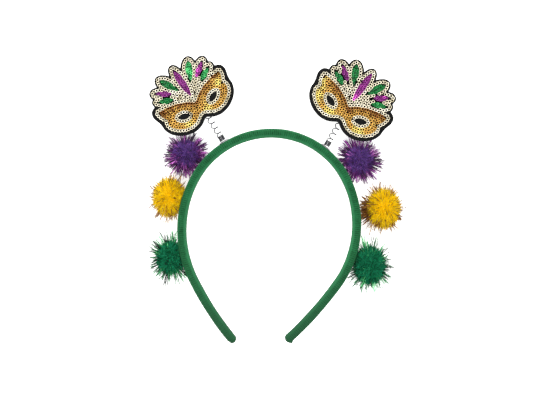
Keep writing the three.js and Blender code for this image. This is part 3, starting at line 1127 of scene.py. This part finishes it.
# Painted spots of light on each mask, and painted shade where the gain is negative: place on the upright mask
# and reach, in millimetres, and gain
SheenTable = dict[Side, tuple[tuple[float, float, float, float], ...]]
GOLD_SHEEN: SheenTable = {
    Side.LEFT: ((4, 5, 4, 0.7), (-12, 1.7, 4, 0.65), (21.5, 16.3, 3.6, 0.75), (24, 10.5, 3, -0.2)),
    Side.RIGHT: (
        (-26, 20, 5, 0.75), (-23.5, 8, 5.8, 0.65), (-9, 3, 5, 0.6), (15, 3.5, 4.4, 0.75), (23, 20, 4, -0.1)
    ),
}
FEATHER_SHEEN: SheenTable = {
    Side.LEFT: ((9, 34, 5, 0.3), (20, 27, 5, 0.3), (-9, 33, 6, -0.15), (0, 26, 8, -0.1)),
    Side.RIGHT: ((0, 20, 4, 0.5), (-8, 34, 6, -0.15), (9, 32, 7, -0.15)),
}


@dataclass
class Mask:
    """A felt-backed carnival mask, sewn all over with sequins."""

    side: Side
    lean: float
    size: float
    felt: Material
    foils: dict[Foil, Material]
    grounds: dict[Foil, Material]
    sequins: dict[Foil, tuple[np.ndarray, np.ndarray]]
    pitch: float = 2.1 * MM
    gold_pitch: float = 1.95 * MM
    feather_pitch: float = 1.75 * MM
    felt_nap: float = 0.4 * MM
    ground_lift: float = 0.02 * MM
    ground_sheet: float = 0.2 * MM
    tilt: float = math.radians(5)
    wobble: float = math.radians(3)
    feather_base: float = 18.5 * MM
    brow_points: tuple[tuple[float, float], ...] = ((0, 13.2), (10, 22.3), (26.3, 22.3))
    brow_shade_depth: float = 0.42
    brow_reach: float = 4.8
    fan_from: float = 18
    fan_over: float = 5
    fan_least: float = 0.05
    felt_rim: float = 0.35 * MM
    unfolded: float = 0.97  # share of the nap that a point of the outline has to move
    gold_inset: float = 0.95 * MM
    trim_inset: float = 0.74 * MM
    rim_inset: float = 1.0 * MM
    feather_inset: float = 0.8 * MM
    row_room: float = 0.74  # least room between sequins, as a share of the pitch
    edge_room: float = 0.75  # least room at the edge in the gaps, as a share of the first row's inset
    gap_room: float = 0.8  # widest gap left open, as a share of the pitch
    lifted: float = 0.6  # share of a sequin's sinking into the ground that is undone
    # Mean and spread of the sequins' shades
    gold_tone: tuple[float, float] = (0.5, 0.1)
    pale_tone: tuple[float, float] = (0.6, 0.2)
    feather_tone: tuple[float, float] = (0.44, 0.16)
    trials: int = 9000
    seed: int = 7

    @property
    def body(self) -> str:
        """The CAD body that the mask rides on."""
        return f"{self.side.value}_mask"

    def node(self, piece: str) -> str:
        """The name of one of the mask's CAD nodes."""
        return f"{self.side.value}_{piece}"

    def felt_top(self) -> float:
        """Height of the felt's face."""
        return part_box(self.node("felt"))[1].z

    def flat_place(self, places: np.ndarray) -> np.ndarray:
        """Places in plan as millimetres on the upright mask, from its nose notch."""
        up = np.array([-math.sin(self.lean), math.cos(self.lean)])
        right = np.array([up[1], -up[0]])
        feather = Plot.of_node(self.node("feather_4")).loops[0]
        base = feather[np.argmin(feather @ up)]
        notch = base - up * self.feather_base * self.size
        away = (places[:, :2] - notch) / (self.size * MM)
        return np.column_stack([away @ right, away @ up])

    def build_felt(self) -> None:
        """Builds the felt backing, with a soft rim."""
        low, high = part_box(self.node("felt"))
        outline = self.rounded(Plot.of_node(self.node("felt")).loops[0], times=2)
        height = self.flat_place(outline)[:, 1]
        fan = np.clip((height - self.fan_from) / self.fan_over, self.fan_least, 1)
        outline = self.grown(outline, self.felt_nap * fan)
        clear_selection()
        bpy.ops.mesh.primitive_circle_add(vertices=len(outline), radius=high.x - low.x, fill_type="NGON")
        felt = bpy.context.object
        felt.name = self.node("backing")
        felt.location = (0, 0, 0)
        move_points(felt, np.column_stack([outline, np.full(len(outline), low.z)]))
        edit(felt)
        extrude(UP * (high.z - low.z))
        close_up(felt)
        sharp = math.radians(60)
        modify(felt, "BEVEL", width=self.felt_rim, segments=3, limit_method="ANGLE", angle_limit=sharp)
        apply_modifiers(felt)
        smooth(felt, 50)
        felt.data.materials.append(self.felt)
        hand_over(felt, self.node("felt"), self.body)

    @staticmethod
    def rounded(loop: np.ndarray, times: int) -> np.ndarray:
        """A loop with its corners cut, which rounds its facets off."""
        for _ in range(times):
            onward = np.roll(loop, -1, axis=0)
            loop = np.stack([0.75 * loop + 0.25 * onward, 0.25 * loop + 0.75 * onward], axis=1).reshape(-1, 2)
        return loop

    def grown(self, loop: np.ndarray, reach: np.ndarray) -> np.ndarray:
        """A loop moved outwards, without the points that its notches would fold over."""
        runs = np.roll(loop, -1, axis=0) - np.roll(loop, 1, axis=0)
        runs /= np.linalg.norm(runs, axis=1)[:, None]
        moved = loop + reach[:, None] * np.column_stack([runs[:, 1], -runs[:, 0]])
        return moved[Plot([loop]).distance(moved) > self.unfolded * reach]

    def layout(self, plot: Plot, first: float, pitch: float, random: np.random.Generator) -> np.ndarray:
        """Places for sequins all over a panel, in rows that follow its edges.

        Args:
            plot: The panel's plan.
            first: How far the first row runs inside the edge.
            pitch: Distance between sequins and between rows.
            random: Source of the places tried in the gaps that the rows leave.

        Returns:
            Rows of x, y and the direction along the row.
        """
        chosen = np.empty((0, 3))
        deepest = np.ptp(plot.loops[0], axis=0).min() / 2
        for inset in np.arange(first, deepest, pitch):
            for loop in plot.loops:
                chosen = self.added(chosen, plot.row(loop, inset, pitch), self.row_room * pitch)
        low, high = plot.loops[0].min(axis=0), plot.loops[0].max(axis=0)
        spare = low + random.random((self.trials, 2)) * (high - low)
        spare = spare[plot.holds(spare)]
        spare = spare[plot.distance(spare) > self.edge_room * first]
        room = np.linalg.norm(spare[:, None] - chosen[None, :, :2], axis=2).min(axis=1)
        while room.max() > self.gap_room * pitch:
            best = spare[np.argmax(room)]
            nearest = np.argmin(np.linalg.norm(chosen[:, :2] - best, axis=1))
            chosen = np.vstack([chosen, [*best, chosen[nearest, 2]]])
            room = np.minimum(room, np.linalg.norm(spare - best, axis=1))
        return chosen

    @staticmethod
    def added(chosen: np.ndarray, places: np.ndarray, apart: float) -> np.ndarray:
        """Places joined to those chosen before, without any that would crowd them."""
        for place in places:
            if not len(chosen) or np.linalg.norm(chosen[:, :2] - place[:2], axis=1).min() > apart:
                chosen = np.vstack([chosen, place])
        return chosen

    def sequin_field(
        self, foil: Foil, places: np.ndarray, random: np.random.Generator
    ) -> tuple[np.ndarray, np.ndarray]:
        """Copies of the sequin at many places, each lapped over the next in its row.

        Args:
            foil: The sequins' colour, which sets their size.
            places: Rows of x, y and the direction along the row.
            random: Source of each one's small wobble.

        Returns:
            Points and triangles of all the copies.
        """
        shape, faces = self.sequins[foil]
        count = len(places)
        pitch = self.tilt + self.wobble * random.standard_normal(count)
        roll = self.wobble * random.standard_normal(count)
        heading = places[:, 2]
        along = np.stack([np.cos(heading), np.sin(heading), np.zeros(count)], axis=1)
        across = np.stack([-np.sin(heading), np.cos(heading), np.zeros(count)], axis=1)
        up = np.broadcast_to([0.0, 0.0, 1.0], (count, 3))
        ahead = along * np.cos(pitch)[:, None] + up * np.sin(pitch)[:, None]
        above = up * np.cos(pitch)[:, None] - along * np.sin(pitch)[:, None]
        beside = across * np.cos(roll)[:, None] + above * np.sin(roll)[:, None]
        above = above * np.cos(roll)[:, None] - across * np.sin(roll)[:, None]
        turns = np.stack([ahead, beside, above], axis=2)
        placed = np.einsum("nij,kj->nki", turns, shape)
        ground = self.felt_top() + self.ground_lift + self.ground_sheet
        placed += np.column_stack([places[:, :2], np.full(count, ground)])[:, None, :]
        sunk = np.minimum(placed[:, :, 2].min(axis=1) - ground, 0)
        placed[:, :, 2] -= sunk[:, None] * self.lifted
        offsets = np.arange(count)[:, None, None] * len(shape)
        return placed.reshape(-1, 3), (faces[None] + offsets).reshape(-1, 3)

    def gold_shade(self, places: np.ndarray) -> np.ndarray:
        """How light the gold is over the eye mask: painted shade along the brows, painted highlights on the
        lobes.
        """
        flat = self.flat_place(places)
        start, pull, end = (np.array(p) for p in self.brow_points)
        t = np.linspace(0, 1, 30)[:, None]
        brow = (1 - t) ** 2 * start + 2 * (1 - t) * t * pull + t**2 * end
        below = np.interp(np.abs(flat[:, 0]), brow[:, 0], brow[:, 1]) - flat[:, 1]
        shadow = self.brow_shade_depth * np.exp(-((below / self.brow_reach) ** 2))
        return self.gold_tone[0] - shadow + self.lit(places, GOLD_SHEEN)

    def lit(self, places: np.ndarray, sheen: SheenTable) -> np.ndarray:
        """How much the painted spots of light and shade on the mask add to the shade at some places."""
        flat = self.flat_place(places)
        added = np.zeros(len(places))
        for x, y, reach, gain in sheen[self.side]:
            added += gain * np.exp(-(np.linalg.norm(flat - np.array((x, y)), axis=1) / reach) ** 2)
        return added

    def shade(self, foil: Foil, places: np.ndarray, random: np.random.Generator) -> np.ndarray:
        """How light each sequin is.

        Args:
            foil: The sequins' colour.
            places: Rows of x, y and the direction along the row.
            random: Source of the difference from one to the next.

        Returns:
            One shade for each sequin, from deep to glinting.
        """
        mean, spread = self.feather_tone
        # Painted highlights and painted shade on the feathers, from FEATHER_SHEEN.
        shade = mean + spread * random.standard_normal(len(places)) + self.lit(places, FEATHER_SHEEN)
        if foil is Foil.PALE:
            mean, spread = self.pale_tone
            shade = mean + spread * random.standard_normal(len(places))
        if foil is Foil.GOLD:
            shade = self.gold_shade(places) + self.gold_tone[1] * random.standard_normal(len(places))
        return shade

    def build_panel(self, piece: str, foil: Foil, pitch: float, first: float) -> None:
        """Builds one sequinned panel: its ground, and sequins in rows.

        Args:
            piece: The panel's name on this mask.
            foil: The sequins' colour.
            pitch: Distance between sequins.
            first: How far the first row runs inside the edge.
        """
        random = np.random.default_rng([self.seed, self.side.sign + 1, sum(map(ord, piece))])
        ground, triangles = node_arrays(self.node(piece))
        top = ground[:, 2] > ground[:, 2].mean()
        level = self.felt_top() + self.ground_lift
        ground[:, 2] = np.where(top, level + self.ground_sheet, level)
        places = self.layout(Plot.of_node(self.node(piece)), first, pitch, random)
        points, faces = self.sequin_field(foil, places, random)
        shade = np.repeat(self.shade(foil, places, random), len(self.sequins[foil][0]))
        parts = [
            Part(ground, triangles, {"shade": np.zeros(len(ground))}, 0),
            Part(points, faces, {"shade": shade}, 1),
        ]
        panel = assembled(self.node(f"{piece}_sewn"), parts, self.grounds[foil], self.foils[foil])
        smooth(panel, 30)
        hand_over(panel, self.node(piece), self.body)

    def build(self) -> None:
        """Builds all the pieces of the mask."""
        self.build_felt()
        self.build_panel("gold_field", Foil.GOLD, self.gold_pitch, self.gold_inset)
        self.build_panel("trim", Foil.PALE, self.pitch, self.trim_inset)
        for number in (1, 2):
            self.build_panel(f"eye_rim_{number}", Foil.PALE, self.pitch, self.rim_inset)
        for number in range(1, 8):
            foil = Foil.GREEN if number % 2 else Foil.PURPLE
            self.build_panel(f"feather_{number}", foil, self.feather_pitch, self.feather_inset)


# Pompoms


@dataclass
class Clearing:
    """What the pompoms' strands keep out of: the surface below, the band, and the masks' room to nod."""

    hoop: Hoop
    masks: list[tuple[Plot, float]]
    nod_room: float = 5.5 * MM
    surface_gap: float = 0.15 * MM
    half_thickness: float = 3.55 * MM
    half_width: float = 4.85 * MM
    # Strands this near the band's middle line stay below this height over it
    over_reach: float = 3.1 * MM
    over_from: float = -1 * MM
    least_out: float = 0.8 * MM

    def under_mask(self, points: np.ndarray) -> np.ndarray:
        """How high each point may lie for the masks to nod, without end where no mask is near."""
        ceiling = np.full(len(points), np.inf)
        for plot, back in self.masks:
            low = plot.loops[0].min(axis=0) - self.nod_room
            top = plot.loops[0].max(axis=0) + self.nod_room
            close = np.all((points[:, :2] > low) & (points[:, :2] < top), axis=1)
            if close.any():
                plan = points[close][:, :2]
                near = plot.holds(plan) | (plot.distance(plan) < self.nod_room)
                ceiling[close] = np.where(near, back - self.nod_room, ceiling[close])
        return ceiling

    def pressed(self, points: np.ndarray, gap: float = 0.1 * MM) -> np.ndarray:
        """Points moved straight down until they lie a gap under the masks' room."""
        lower = np.minimum(points[:, 2], self.under_mask(points) - gap)
        return np.column_stack([points[:, :2], lower])

    def free(self, points: np.ndarray) -> np.ndarray:
        """Which points a strand may pass through."""
        _, out, up = self.hoop.locate(points)
        inside = (out / self.half_thickness) ** 2 + (up / self.half_width) ** 2 < 1
        over = (out < self.over_reach) & (up > self.over_from)
        above = (points[:, 2] > self.surface_gap) & (points[:, 2] < self.under_mask(points))
        return above & ~inside & ~over & (out > self.least_out)


@dataclass(frozen=True)
class StripCut:
    """How one hue's foil strips are cut and lie.

    Attributes:
        count: Number of strips.
        width: Width of a strip.
        shade: Their mean shade, from dark to glinting.
        spread: How much the shade varies, in painted highlights and painted shade.
        spikes: Number of spikes that the strips gather into.
        sunk: Share by which strips that face up are shorter.
        stray: How far strips stray from their spikes.
        comb: How far strips that face up are combed outwards.
    """

    count: int
    width: float
    shade: float
    spread: float
    spikes: int
    sunk: float
    stray: float
    comb: float = 0


# Rings along a strand, from its root: share of its length, of its width and of its curl
FIBRE_STATIONS = ((0, 0.85, 0.0), (0.55, 1.0, 1.0), (0.86, 0.7, 0.55))
STRIP_STATIONS = ((0, 0.9, 0.0), (0.55, 1.0, 1.0), (0.93, 0.9, 0.3))
STRIP_CUTS = {
    Hue.PURPLE: StripCut(1400, 0.48 * MM, shade=0.28, spread=0.32, spikes=300, sunk=0.36, stray=0.07),
    Hue.YELLOW: StripCut(580, 0.46 * MM, shade=0.17, spread=0.2, spikes=160, sunk=0.14, stray=0.14, comb=1.0),
    Hue.GREEN: StripCut(900, 0.48 * MM, shade=0.2, spread=0.38, spikes=220, sunk=0.36, stray=0.08),
}


@dataclass(frozen=True)
class StrandShape:
    """How strands are drawn.

    Attributes:
        thin: Thickness as a share of width.
        curl: Curl as a share of length.
        sides: Corners of the section.
        stations: Rings along the strand.
    """

    thin: float
    curl: float
    sides: int
    stations: tuple[tuple[float, float, float], ...]

    def faces(self) -> np.ndarray:
        """Triangles of one strand, from its root to its point."""
        n = self.sides
        faces = [(0, n - 1 - k, n - 2 - k) for k in range(n - 2)]
        for ring in range(len(self.stations) - 1):
            for k in range(n):
                a, b = ring * n + k, ring * n + (k + 1) % n
                faces += [(a, b, b + n), (a, b + n, a + n)]
        last = (len(self.stations) - 1) * n
        faces += [(last + k, last + (k + 1) % n, last + n) for k in range(n)]
        return np.array(faces)

    def drawn(
        self, ends: tuple[np.ndarray, np.ndarray], wide: np.ndarray, shade: np.ndarray, material: int,
        random: np.random.Generator,
    ) -> Part:
        """Tapered strands between roots and tips.

        Args:
            ends: The strands' roots and tips.
            wide: Each strand's width.
            shade: Each strand's shade.
            material: Number of their material.
            random: Source of their curl and of each one's turn about itself.

        Returns:
            All the strands as one mesh.
        """
        roots, tips = ends
        count = len(roots)
        length = np.linalg.norm(tips - roots, axis=1)[:, None]
        run = (tips - roots) / np.maximum(length, 1e-9)
        beside = np.cross(run, random.standard_normal((count, 3)))
        beside /= np.linalg.norm(beside, axis=1)[:, None]
        above = np.cross(run, beside)
        swing = beside * random.standard_normal((count, 1))
        rise = above * random.standard_normal((count, 1))
        curl = (swing + rise) * self.curl
        rings, reach = [], []
        for share, swell, bend in self.stations:
            middle = roots + (tips - roots) * share + curl * length * bend
            for k in range(self.sides):
                angle = 2 * math.pi * k / self.sides
                flat = beside * math.cos(angle) + above * self.thin * math.sin(angle)
                rings.append(middle + flat * (wide * swell / 2)[:, None])
                reach.append(share)
        rings.append(tips)
        reach.append(1)
        points = np.stack(rings, axis=1)
        triangles = self.faces()[None] + (np.arange(count) * len(rings))[:, None, None]
        values = {"reach": np.tile(reach, count), "shade": np.repeat(shade, len(rings))}
        return Part(points.reshape(-1, 3), triangles.reshape(-1, 3), values, material)


@dataclass
class Pompom:
    """A tinsel pompom: a ball of soft fibre with foil strips that stand out of it."""

    side: Side
    hue: Hue
    along: float
    out: float
    girth: tuple[float, float, float]
    reach: float
    seed: int
    hoop: Hoop
    clearing: Clearing
    band_strips: int = 0
    height: float = 13 * MM
    fibres: int = 6200
    tufts: int = 260
    root: float = 0.58
    fibre_width: float = 0.19 * MM
    strip_sheet: float = 0.06 * MM
    core: float = 0.74
    lumps: int = 60
    lumpiness: float = 0.25
    heart_gap: float = 1.5 * MM
    tuft_pull: tuple[float, float] = (0.1, 0.6)
    fibre_stray: float = 0.2
    fibre_reach: tuple[float, float] = (0.84, 1.06)
    fibre_widths: tuple[float, float] = (0.7, 1.25)
    spike_pull: tuple[float, float] = (0.2, 0.95)
    spike_reach: tuple[float, float] = (0.78, 1)
    strip_shortfall: float = 0.25
    strip_widths: tuple[float, float] = (0.6, 1.3)
    strip_glint: float = 0.6
    band_broad: float = 1.3
    facing_from: float = 0.35
    facing_over: float = 0.4

    def __post_init__(self) -> None:
        """Works out the pompom's place, and sets up its source of chance."""
        place, out = self.hoop.place(self.side, self.along)
        centre = place + out * self.out
        self.outward = np.array(out)
        self.middle = np.array([centre.x, centre.y, self.height])
        self.random = np.random.default_rng(self.seed)

    def spread(self, count: int, jitter: float) -> np.ndarray:
        """Directions spread evenly over a ball, then jittered."""
        rank = np.arange(count) + 0.5
        z = 1 - 2 * rank / count
        level = np.sqrt(1 - z * z)
        even = np.stack([level * np.cos(GOLDEN_TURN * rank), level * np.sin(GOLDEN_TURN * rank), z], axis=1)
        return self.unit(even + jitter * self.random.standard_normal((count, 3)))

    @staticmethod
    def unit(directions: np.ndarray) -> np.ndarray:
        """Directions brought to length 1."""
        return directions / np.linalg.norm(directions, axis=1)[:, None]

    def skin(self, directions: np.ndarray) -> np.ndarray:
        """How far the fluff reaches in each direction."""
        return 1 / np.linalg.norm(directions / np.array(self.girth), axis=1)

    def gathered(self, aims: np.ndarray, homes: np.ndarray, pull: tuple[float, float]) -> np.ndarray:
        """Directions drawn towards those of their tufts, by a share between two limits."""
        gather = self.random.uniform(*pull, (len(aims), 1))
        return aims * (1 - gather) + homes * gather

    def reached(self, directions: np.ndarray, distance: np.ndarray) -> np.ndarray:
        """The point at a distance from the pompom's middle in each direction."""
        return self.middle + directions * distance[:, None]

    def trimmed(self, roots: np.ndarray, tips: np.ndarray) -> tuple[np.ndarray, np.ndarray]:
        """Roots and tips pressed down under the masks, and tips drawn back from what is in the way."""
        roots, tips = self.clearing.pressed(roots), self.clearing.pressed(tips)
        share = np.ones(len(roots))
        blocked = np.zeros(len(roots), bool)
        for step in np.linspace(0.3, 1, 8):
            stopped = ~self.clearing.free(roots + (tips - roots) * step) & ~blocked
            share[stopped] = step - 0.1
            blocked |= stopped
        return roots, roots + (tips - roots) * share[:, None]

    def heart(self) -> Part:
        """The dense heart of the pompom, lumpy under its fibres, in the painted shade of their roots."""
        clear_selection()
        bpy.ops.mesh.primitive_ico_sphere_add(subdivisions=4, radius=1)
        directions, triangles = taken(bpy.context.object)
        near = (directions @ self.spread(self.lumps, 0.2).T).max(axis=1)
        size = self.skin(directions) * self.core * (1 + self.lumpiness * (near - near.mean()))
        points = self.clearing.pressed(self.reached(directions, size), self.heart_gap)
        # A low reach gives the heart the painted shade of the fibres' roots.
        level = np.full(len(points), 0.3)
        return Part(points, triangles, {"reach": level, "shade": level}, 0)

    def fluff(self) -> Part:
        """The matted fibre, gathered into small tufts."""
        aims = self.spread(self.fibres, 0.02)
        tufts = self.spread(self.tufts, 0.12)
        homes = tufts[np.argmax(aims @ tufts.T, axis=1)]
        leans = self.gathered(aims, homes, self.tuft_pull)
        leans = self.unit(leans + self.fibre_stray * self.random.standard_normal(aims.shape))
        roots = self.reached(aims, self.skin(aims) * self.root)
        tips = self.reached(leans, self.skin(leans) * self.random.uniform(*self.fibre_reach, self.fibres))
        wide = self.fibre_width * self.random.uniform(*self.fibre_widths, self.fibres)
        shape = StrandShape(thin=1, curl=0.1, sides=3, stations=FIBRE_STATIONS)
        return shape.drawn(self.trimmed(roots, tips), wide, self.random.random(self.fibres), 0, self.random)

    def tinsel(self, aims: np.ndarray, broad: float = 1) -> Part:
        """Foil strips gathered into spikes that each share one painted glint, and shorter towards the viewer.

        Args:
            aims: Directions of the strips.
            broad: Factor on their width, and less on their length.

        Returns:
            The strips.
        """
        cut = STRIP_CUTS[self.hue]
        count = len(aims)
        spikes = self.spread(cut.spikes, 0.14)
        home = np.argmax(aims @ spikes.T, axis=1)
        leans = self.gathered(aims, spikes[home], self.spike_pull)
        leans = leans + cut.stray * self.random.standard_normal(aims.shape)
        leans[:, :2] *= 1 + cut.comb * np.clip(leans[:, 2:], 0, 1)
        leans = self.unit(leans)
        roots = self.reached(aims, self.skin(aims) * self.root)
        tall = self.random.uniform(*self.spike_reach, cut.spikes)[home]
        tall = tall * self.skin(leans) / np.mean(self.girth)
        short = 1 - cut.sunk * np.clip((leans[:, 2] - self.facing_from) / self.facing_over, 0, 1)
        uneven = 1 - self.strip_shortfall * self.random.random(count) ** 2
        far = self.reach * math.sqrt(broad) * short * tall * uneven
        wide = cut.width * broad * self.random.uniform(*self.strip_widths, count)
        # Painted highlights and shade: each spike's strips share one glint, and strips that point along Y,
        # either way, are lighter than those that point along X or Z.
        spike_glint = self.random.standard_normal(cut.spikes)[home]
        spike_glint = spike_glint + self.strip_glint * self.random.standard_normal(count)
        shade = np.clip(cut.shade + cut.spread * (np.abs(leans[:, 1]) - 0.4 + spike_glint), 0, 1.1)
        shape = StrandShape(thin=self.strip_sheet / cut.width, curl=0.04, sides=4, stations=STRIP_STATIONS)
        ends = self.trimmed(roots, self.reached(leans, far))
        return shape.drawn(ends, wide, shade, 1, self.random)

    def towards_band(self) -> np.ndarray:
        """Directions of the strips that fill the gap to the band."""
        return self.unit(0.25 * self.random.standard_normal((self.band_strips, 3)) - self.outward)

    def build(self, *materials: Material) -> None:
        """Builds the whole pompom, from the materials of its soft fibre and of its foil strips."""
        parts = [self.heart(), self.fluff(), self.tinsel(self.spread(STRIP_CUTS[self.hue].count, 0.1))]
        if self.band_strips:
            parts.append(self.tinsel(self.towards_band(), self.band_broad))
        name = f"{self.side.value}_{self.hue.value}_pompom"
        pompom = assembled(f"{name}_fluff", parts, *materials)
        hand_over(pompom, name, "headband")


# Studio


@dataclass
class Studio:
    """A plain pale floor, soft light and a camera straight above."""

    centre: Vector
    frame_width: float = 394.6 * MM
    camera_height: float = 0.55
    level: float = 20 * MM
    sensor: float = 36
    floor_size: float = 4.0
    floor_grain: float = 40.0
    floor_glow: float = 0.6
    room_light: float = 0.85

    def build_floor(self) -> None:
        """The floor under the headband."""
        clear_selection()
        bpy.ops.mesh.primitive_grid_add(x_subdivisions=4, y_subdivisions=4, size=self.floor_size)
        floor = bpy.context.object
        floor.name = "floor"
        sheet, surface, material = new_material("pale_floor")
        grain = FibreGrain.laid(sheet, "#f4f4f2", "#fcfcfa", self.floor_grain)
        sheet.plug(surface, {"Base Color": grain["Colour"], "Roughness": 0.9})
        sheet.plug(surface, {"Emission Color": WHITE, "Emission Strength": self.floor_glow})
        floor.data.materials.append(material)

    def add_light(self, name: str, place: Vector, size: float, power: float) -> None:
        """A square soft light that faces the headband.

        Args:
            name: The light's name.
            place: Where it hangs.
            size: The length of its side.
            power: Its strength in watts.
        """
        light = bpy.data.lights.new(name, "AREA")
        light.size = size
        light.energy = power
        obj = linked(name, light)
        obj.location = place
        obj.rotation_euler = (self.centre - place).to_track_quat("-Z", "Y").to_euler()

    def build_light(self) -> None:
        """A white room, a broad light from the crown's side and another from nearly straight above."""
        world = bpy.data.worlds.new("white_room")
        world.use_nodes = True
        background = world.node_tree.nodes["Background"]
        NodeSheet(world.node_tree).plug(background, {"Color": WHITE, "Strength": self.room_light})
        bpy.context.scene.world = world
        self.add_light("key", self.centre + Vector((-0.25, 0.75, 0.95)), size=0.7, power=16)
        self.add_light("front", self.centre + Vector((0.2, -0.3, 1.5)), size=1.0, power=18)
        bpy.context.scene.view_settings.view_transform = "Standard"

    def build_camera(self) -> None:
        """The camera, straight above the middle of the photograph's frame."""
        camera = bpy.data.cameras.new("camera")
        camera.sensor_width = self.sensor
        camera.lens = self.sensor * (self.camera_height - self.level) / self.frame_width
        obj = linked("camera", camera)
        obj.location = (self.centre.x, self.centre.y, self.camera_height)
        bpy.context.scene.camera = obj

    def build(self) -> None:
        """Floor, lights and camera."""
        self.build_floor()
        self.build_light()
        self.build_camera()


# The headband


CROWN_TO_MOUNT = 3.355 * MM  # half of the band's thickness, and the hollow of the flat face there

VIEW_CENTRE = Vector((-0.45, -4.37, 17)) * MM

# Arcs of the band's middle line from its crown: radius in millimetres and sweep in degrees
ARC_ROWS = {
    Side.LEFT: ((63, 63), (79, 53), (220, 14.4)),
    Side.RIGHT: ((60.5, 65), (73.5, 61), (260, 12.2)),
}

# Springs: place along the band in millimetres, and lean in degrees
MOUNT_ROWS = ((Side.LEFT, 34.3, 32), (Side.RIGHT, 40, -30))

# Masks: lean in degrees, and size
MASK_ROWS = ((Side.LEFT, 35, 1.0), (Side.RIGHT, -35, 1.027))

# Pompoms: place along the band and out of it, half sizes of the fluff and reach of the tinsel, in
# millimetres, then the number of extra strips towards the band
POMPOM_ROWS = (
    (Side.LEFT, Hue.PURPLE, 57.6, 15.4, (11, 11, 11.4), 20.6, 0),
    (Side.LEFT, Hue.YELLOW, 85.7, 12.4, (12.8, 15.4, 12.6), 19.6, 0),
    (Side.LEFT, Hue.GREEN, 124.3, 10.6, (11.2, 13, 11.8), 21.6, 0),
    (Side.RIGHT, Hue.PURPLE, 60.6, 15.4, (11.2, 11.2, 11.4), 20.8, 0),
    (Side.RIGHT, Hue.YELLOW, 91.7, 20.4, (13.2, 15.8, 12.6), 19.6, 220),
    (Side.RIGHT, Hue.GREEN, 126.2, 14.8, (12.4, 15.2, 12.4), 21.5, 60),
)


def make_hoop() -> Hoop:
    """The band's middle line, set by the mount on the inner face of its crown."""
    mount = Vector(frame["record"]["mounts"][0]["pos_m"])
    low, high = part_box("band")
    crown = Vector((mount.x, mount.y + CROWN_TO_MOUNT, (low.z + high.z) / 2))
    arcs = {
        side: tuple(Arc(radius * MM, math.radians(sweep)) for radius, sweep in rows)
        for side, rows in ARC_ROWS.items()
    }
    return Hoop(crown, arcs)


def build_pompoms(hoop: Hoop) -> None:
    """All six pompoms."""
    masks = [(Plot.of_node(f"{side.value}_felt"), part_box(f"{side.value}_felt")[0].z) for side in Side]
    clearing = Clearing(hoop, masks)
    fluffs = {hue: finish.material() for hue, finish in FLUFFS.items()}
    tinsels = {hue: finish.material() for hue, finish in TINSELS.items()}
    for seed, (side, hue, along, out, girth, reach, extra) in enumerate(POMPOM_ROWS):
        half_sizes = tuple(size * MM for size in girth)
        pompom = Pompom(side, hue, along * MM, out * MM, half_sizes, reach * MM, seed, hoop, clearing, extra)
        pompom.build(fluffs[hue], tinsels[hue])


def main() -> None:
    """Builds every piece in order."""
    logging.basicConfig(level=logging.INFO, format="%(name)s: %(message)s")
    hoop = make_hoop()
    band = Band(hoop, RibbedCloth())
    band.build()
    wire_steel = SpringSteel("spring_wire", dark="#1e1e22", bright="#5c5d63").material()
    clip_steel = SpringSteel("clip_sheet", dark="#505156", bright="#b0b1b4").material()
    for side, along, lean in MOUNT_ROWS:
        mount = SpringMount(side, band, along * MM, math.radians(lean), wire_steel, clip_steel)
        mount.build_clip()
        mount.build_spring()
    felt = BlackFelt().material()
    foils = {foil: finish.material() for foil, finish in SEQUIN_FOILS.items()}
    grounds = {foil: finish.material() for foil, finish in SEWN_GROUNDS.items()}
    disc = Sequin().model()
    spangle = Sequin(rim=1.0 * MM, dish=0.8 * MM, hole=0.58 * MM).model()
    sequins = {Foil.GOLD: disc, Foil.PALE: disc, Foil.GREEN: spangle, Foil.PURPLE: spangle}
    for side, lean, size in MASK_ROWS:
        Mask(side, math.radians(lean), size, felt, foils, grounds, sequins).build()
    build_pompoms(hoop)
    Studio(VIEW_CENTRE).build()


if __name__ == "__main__":
    main()
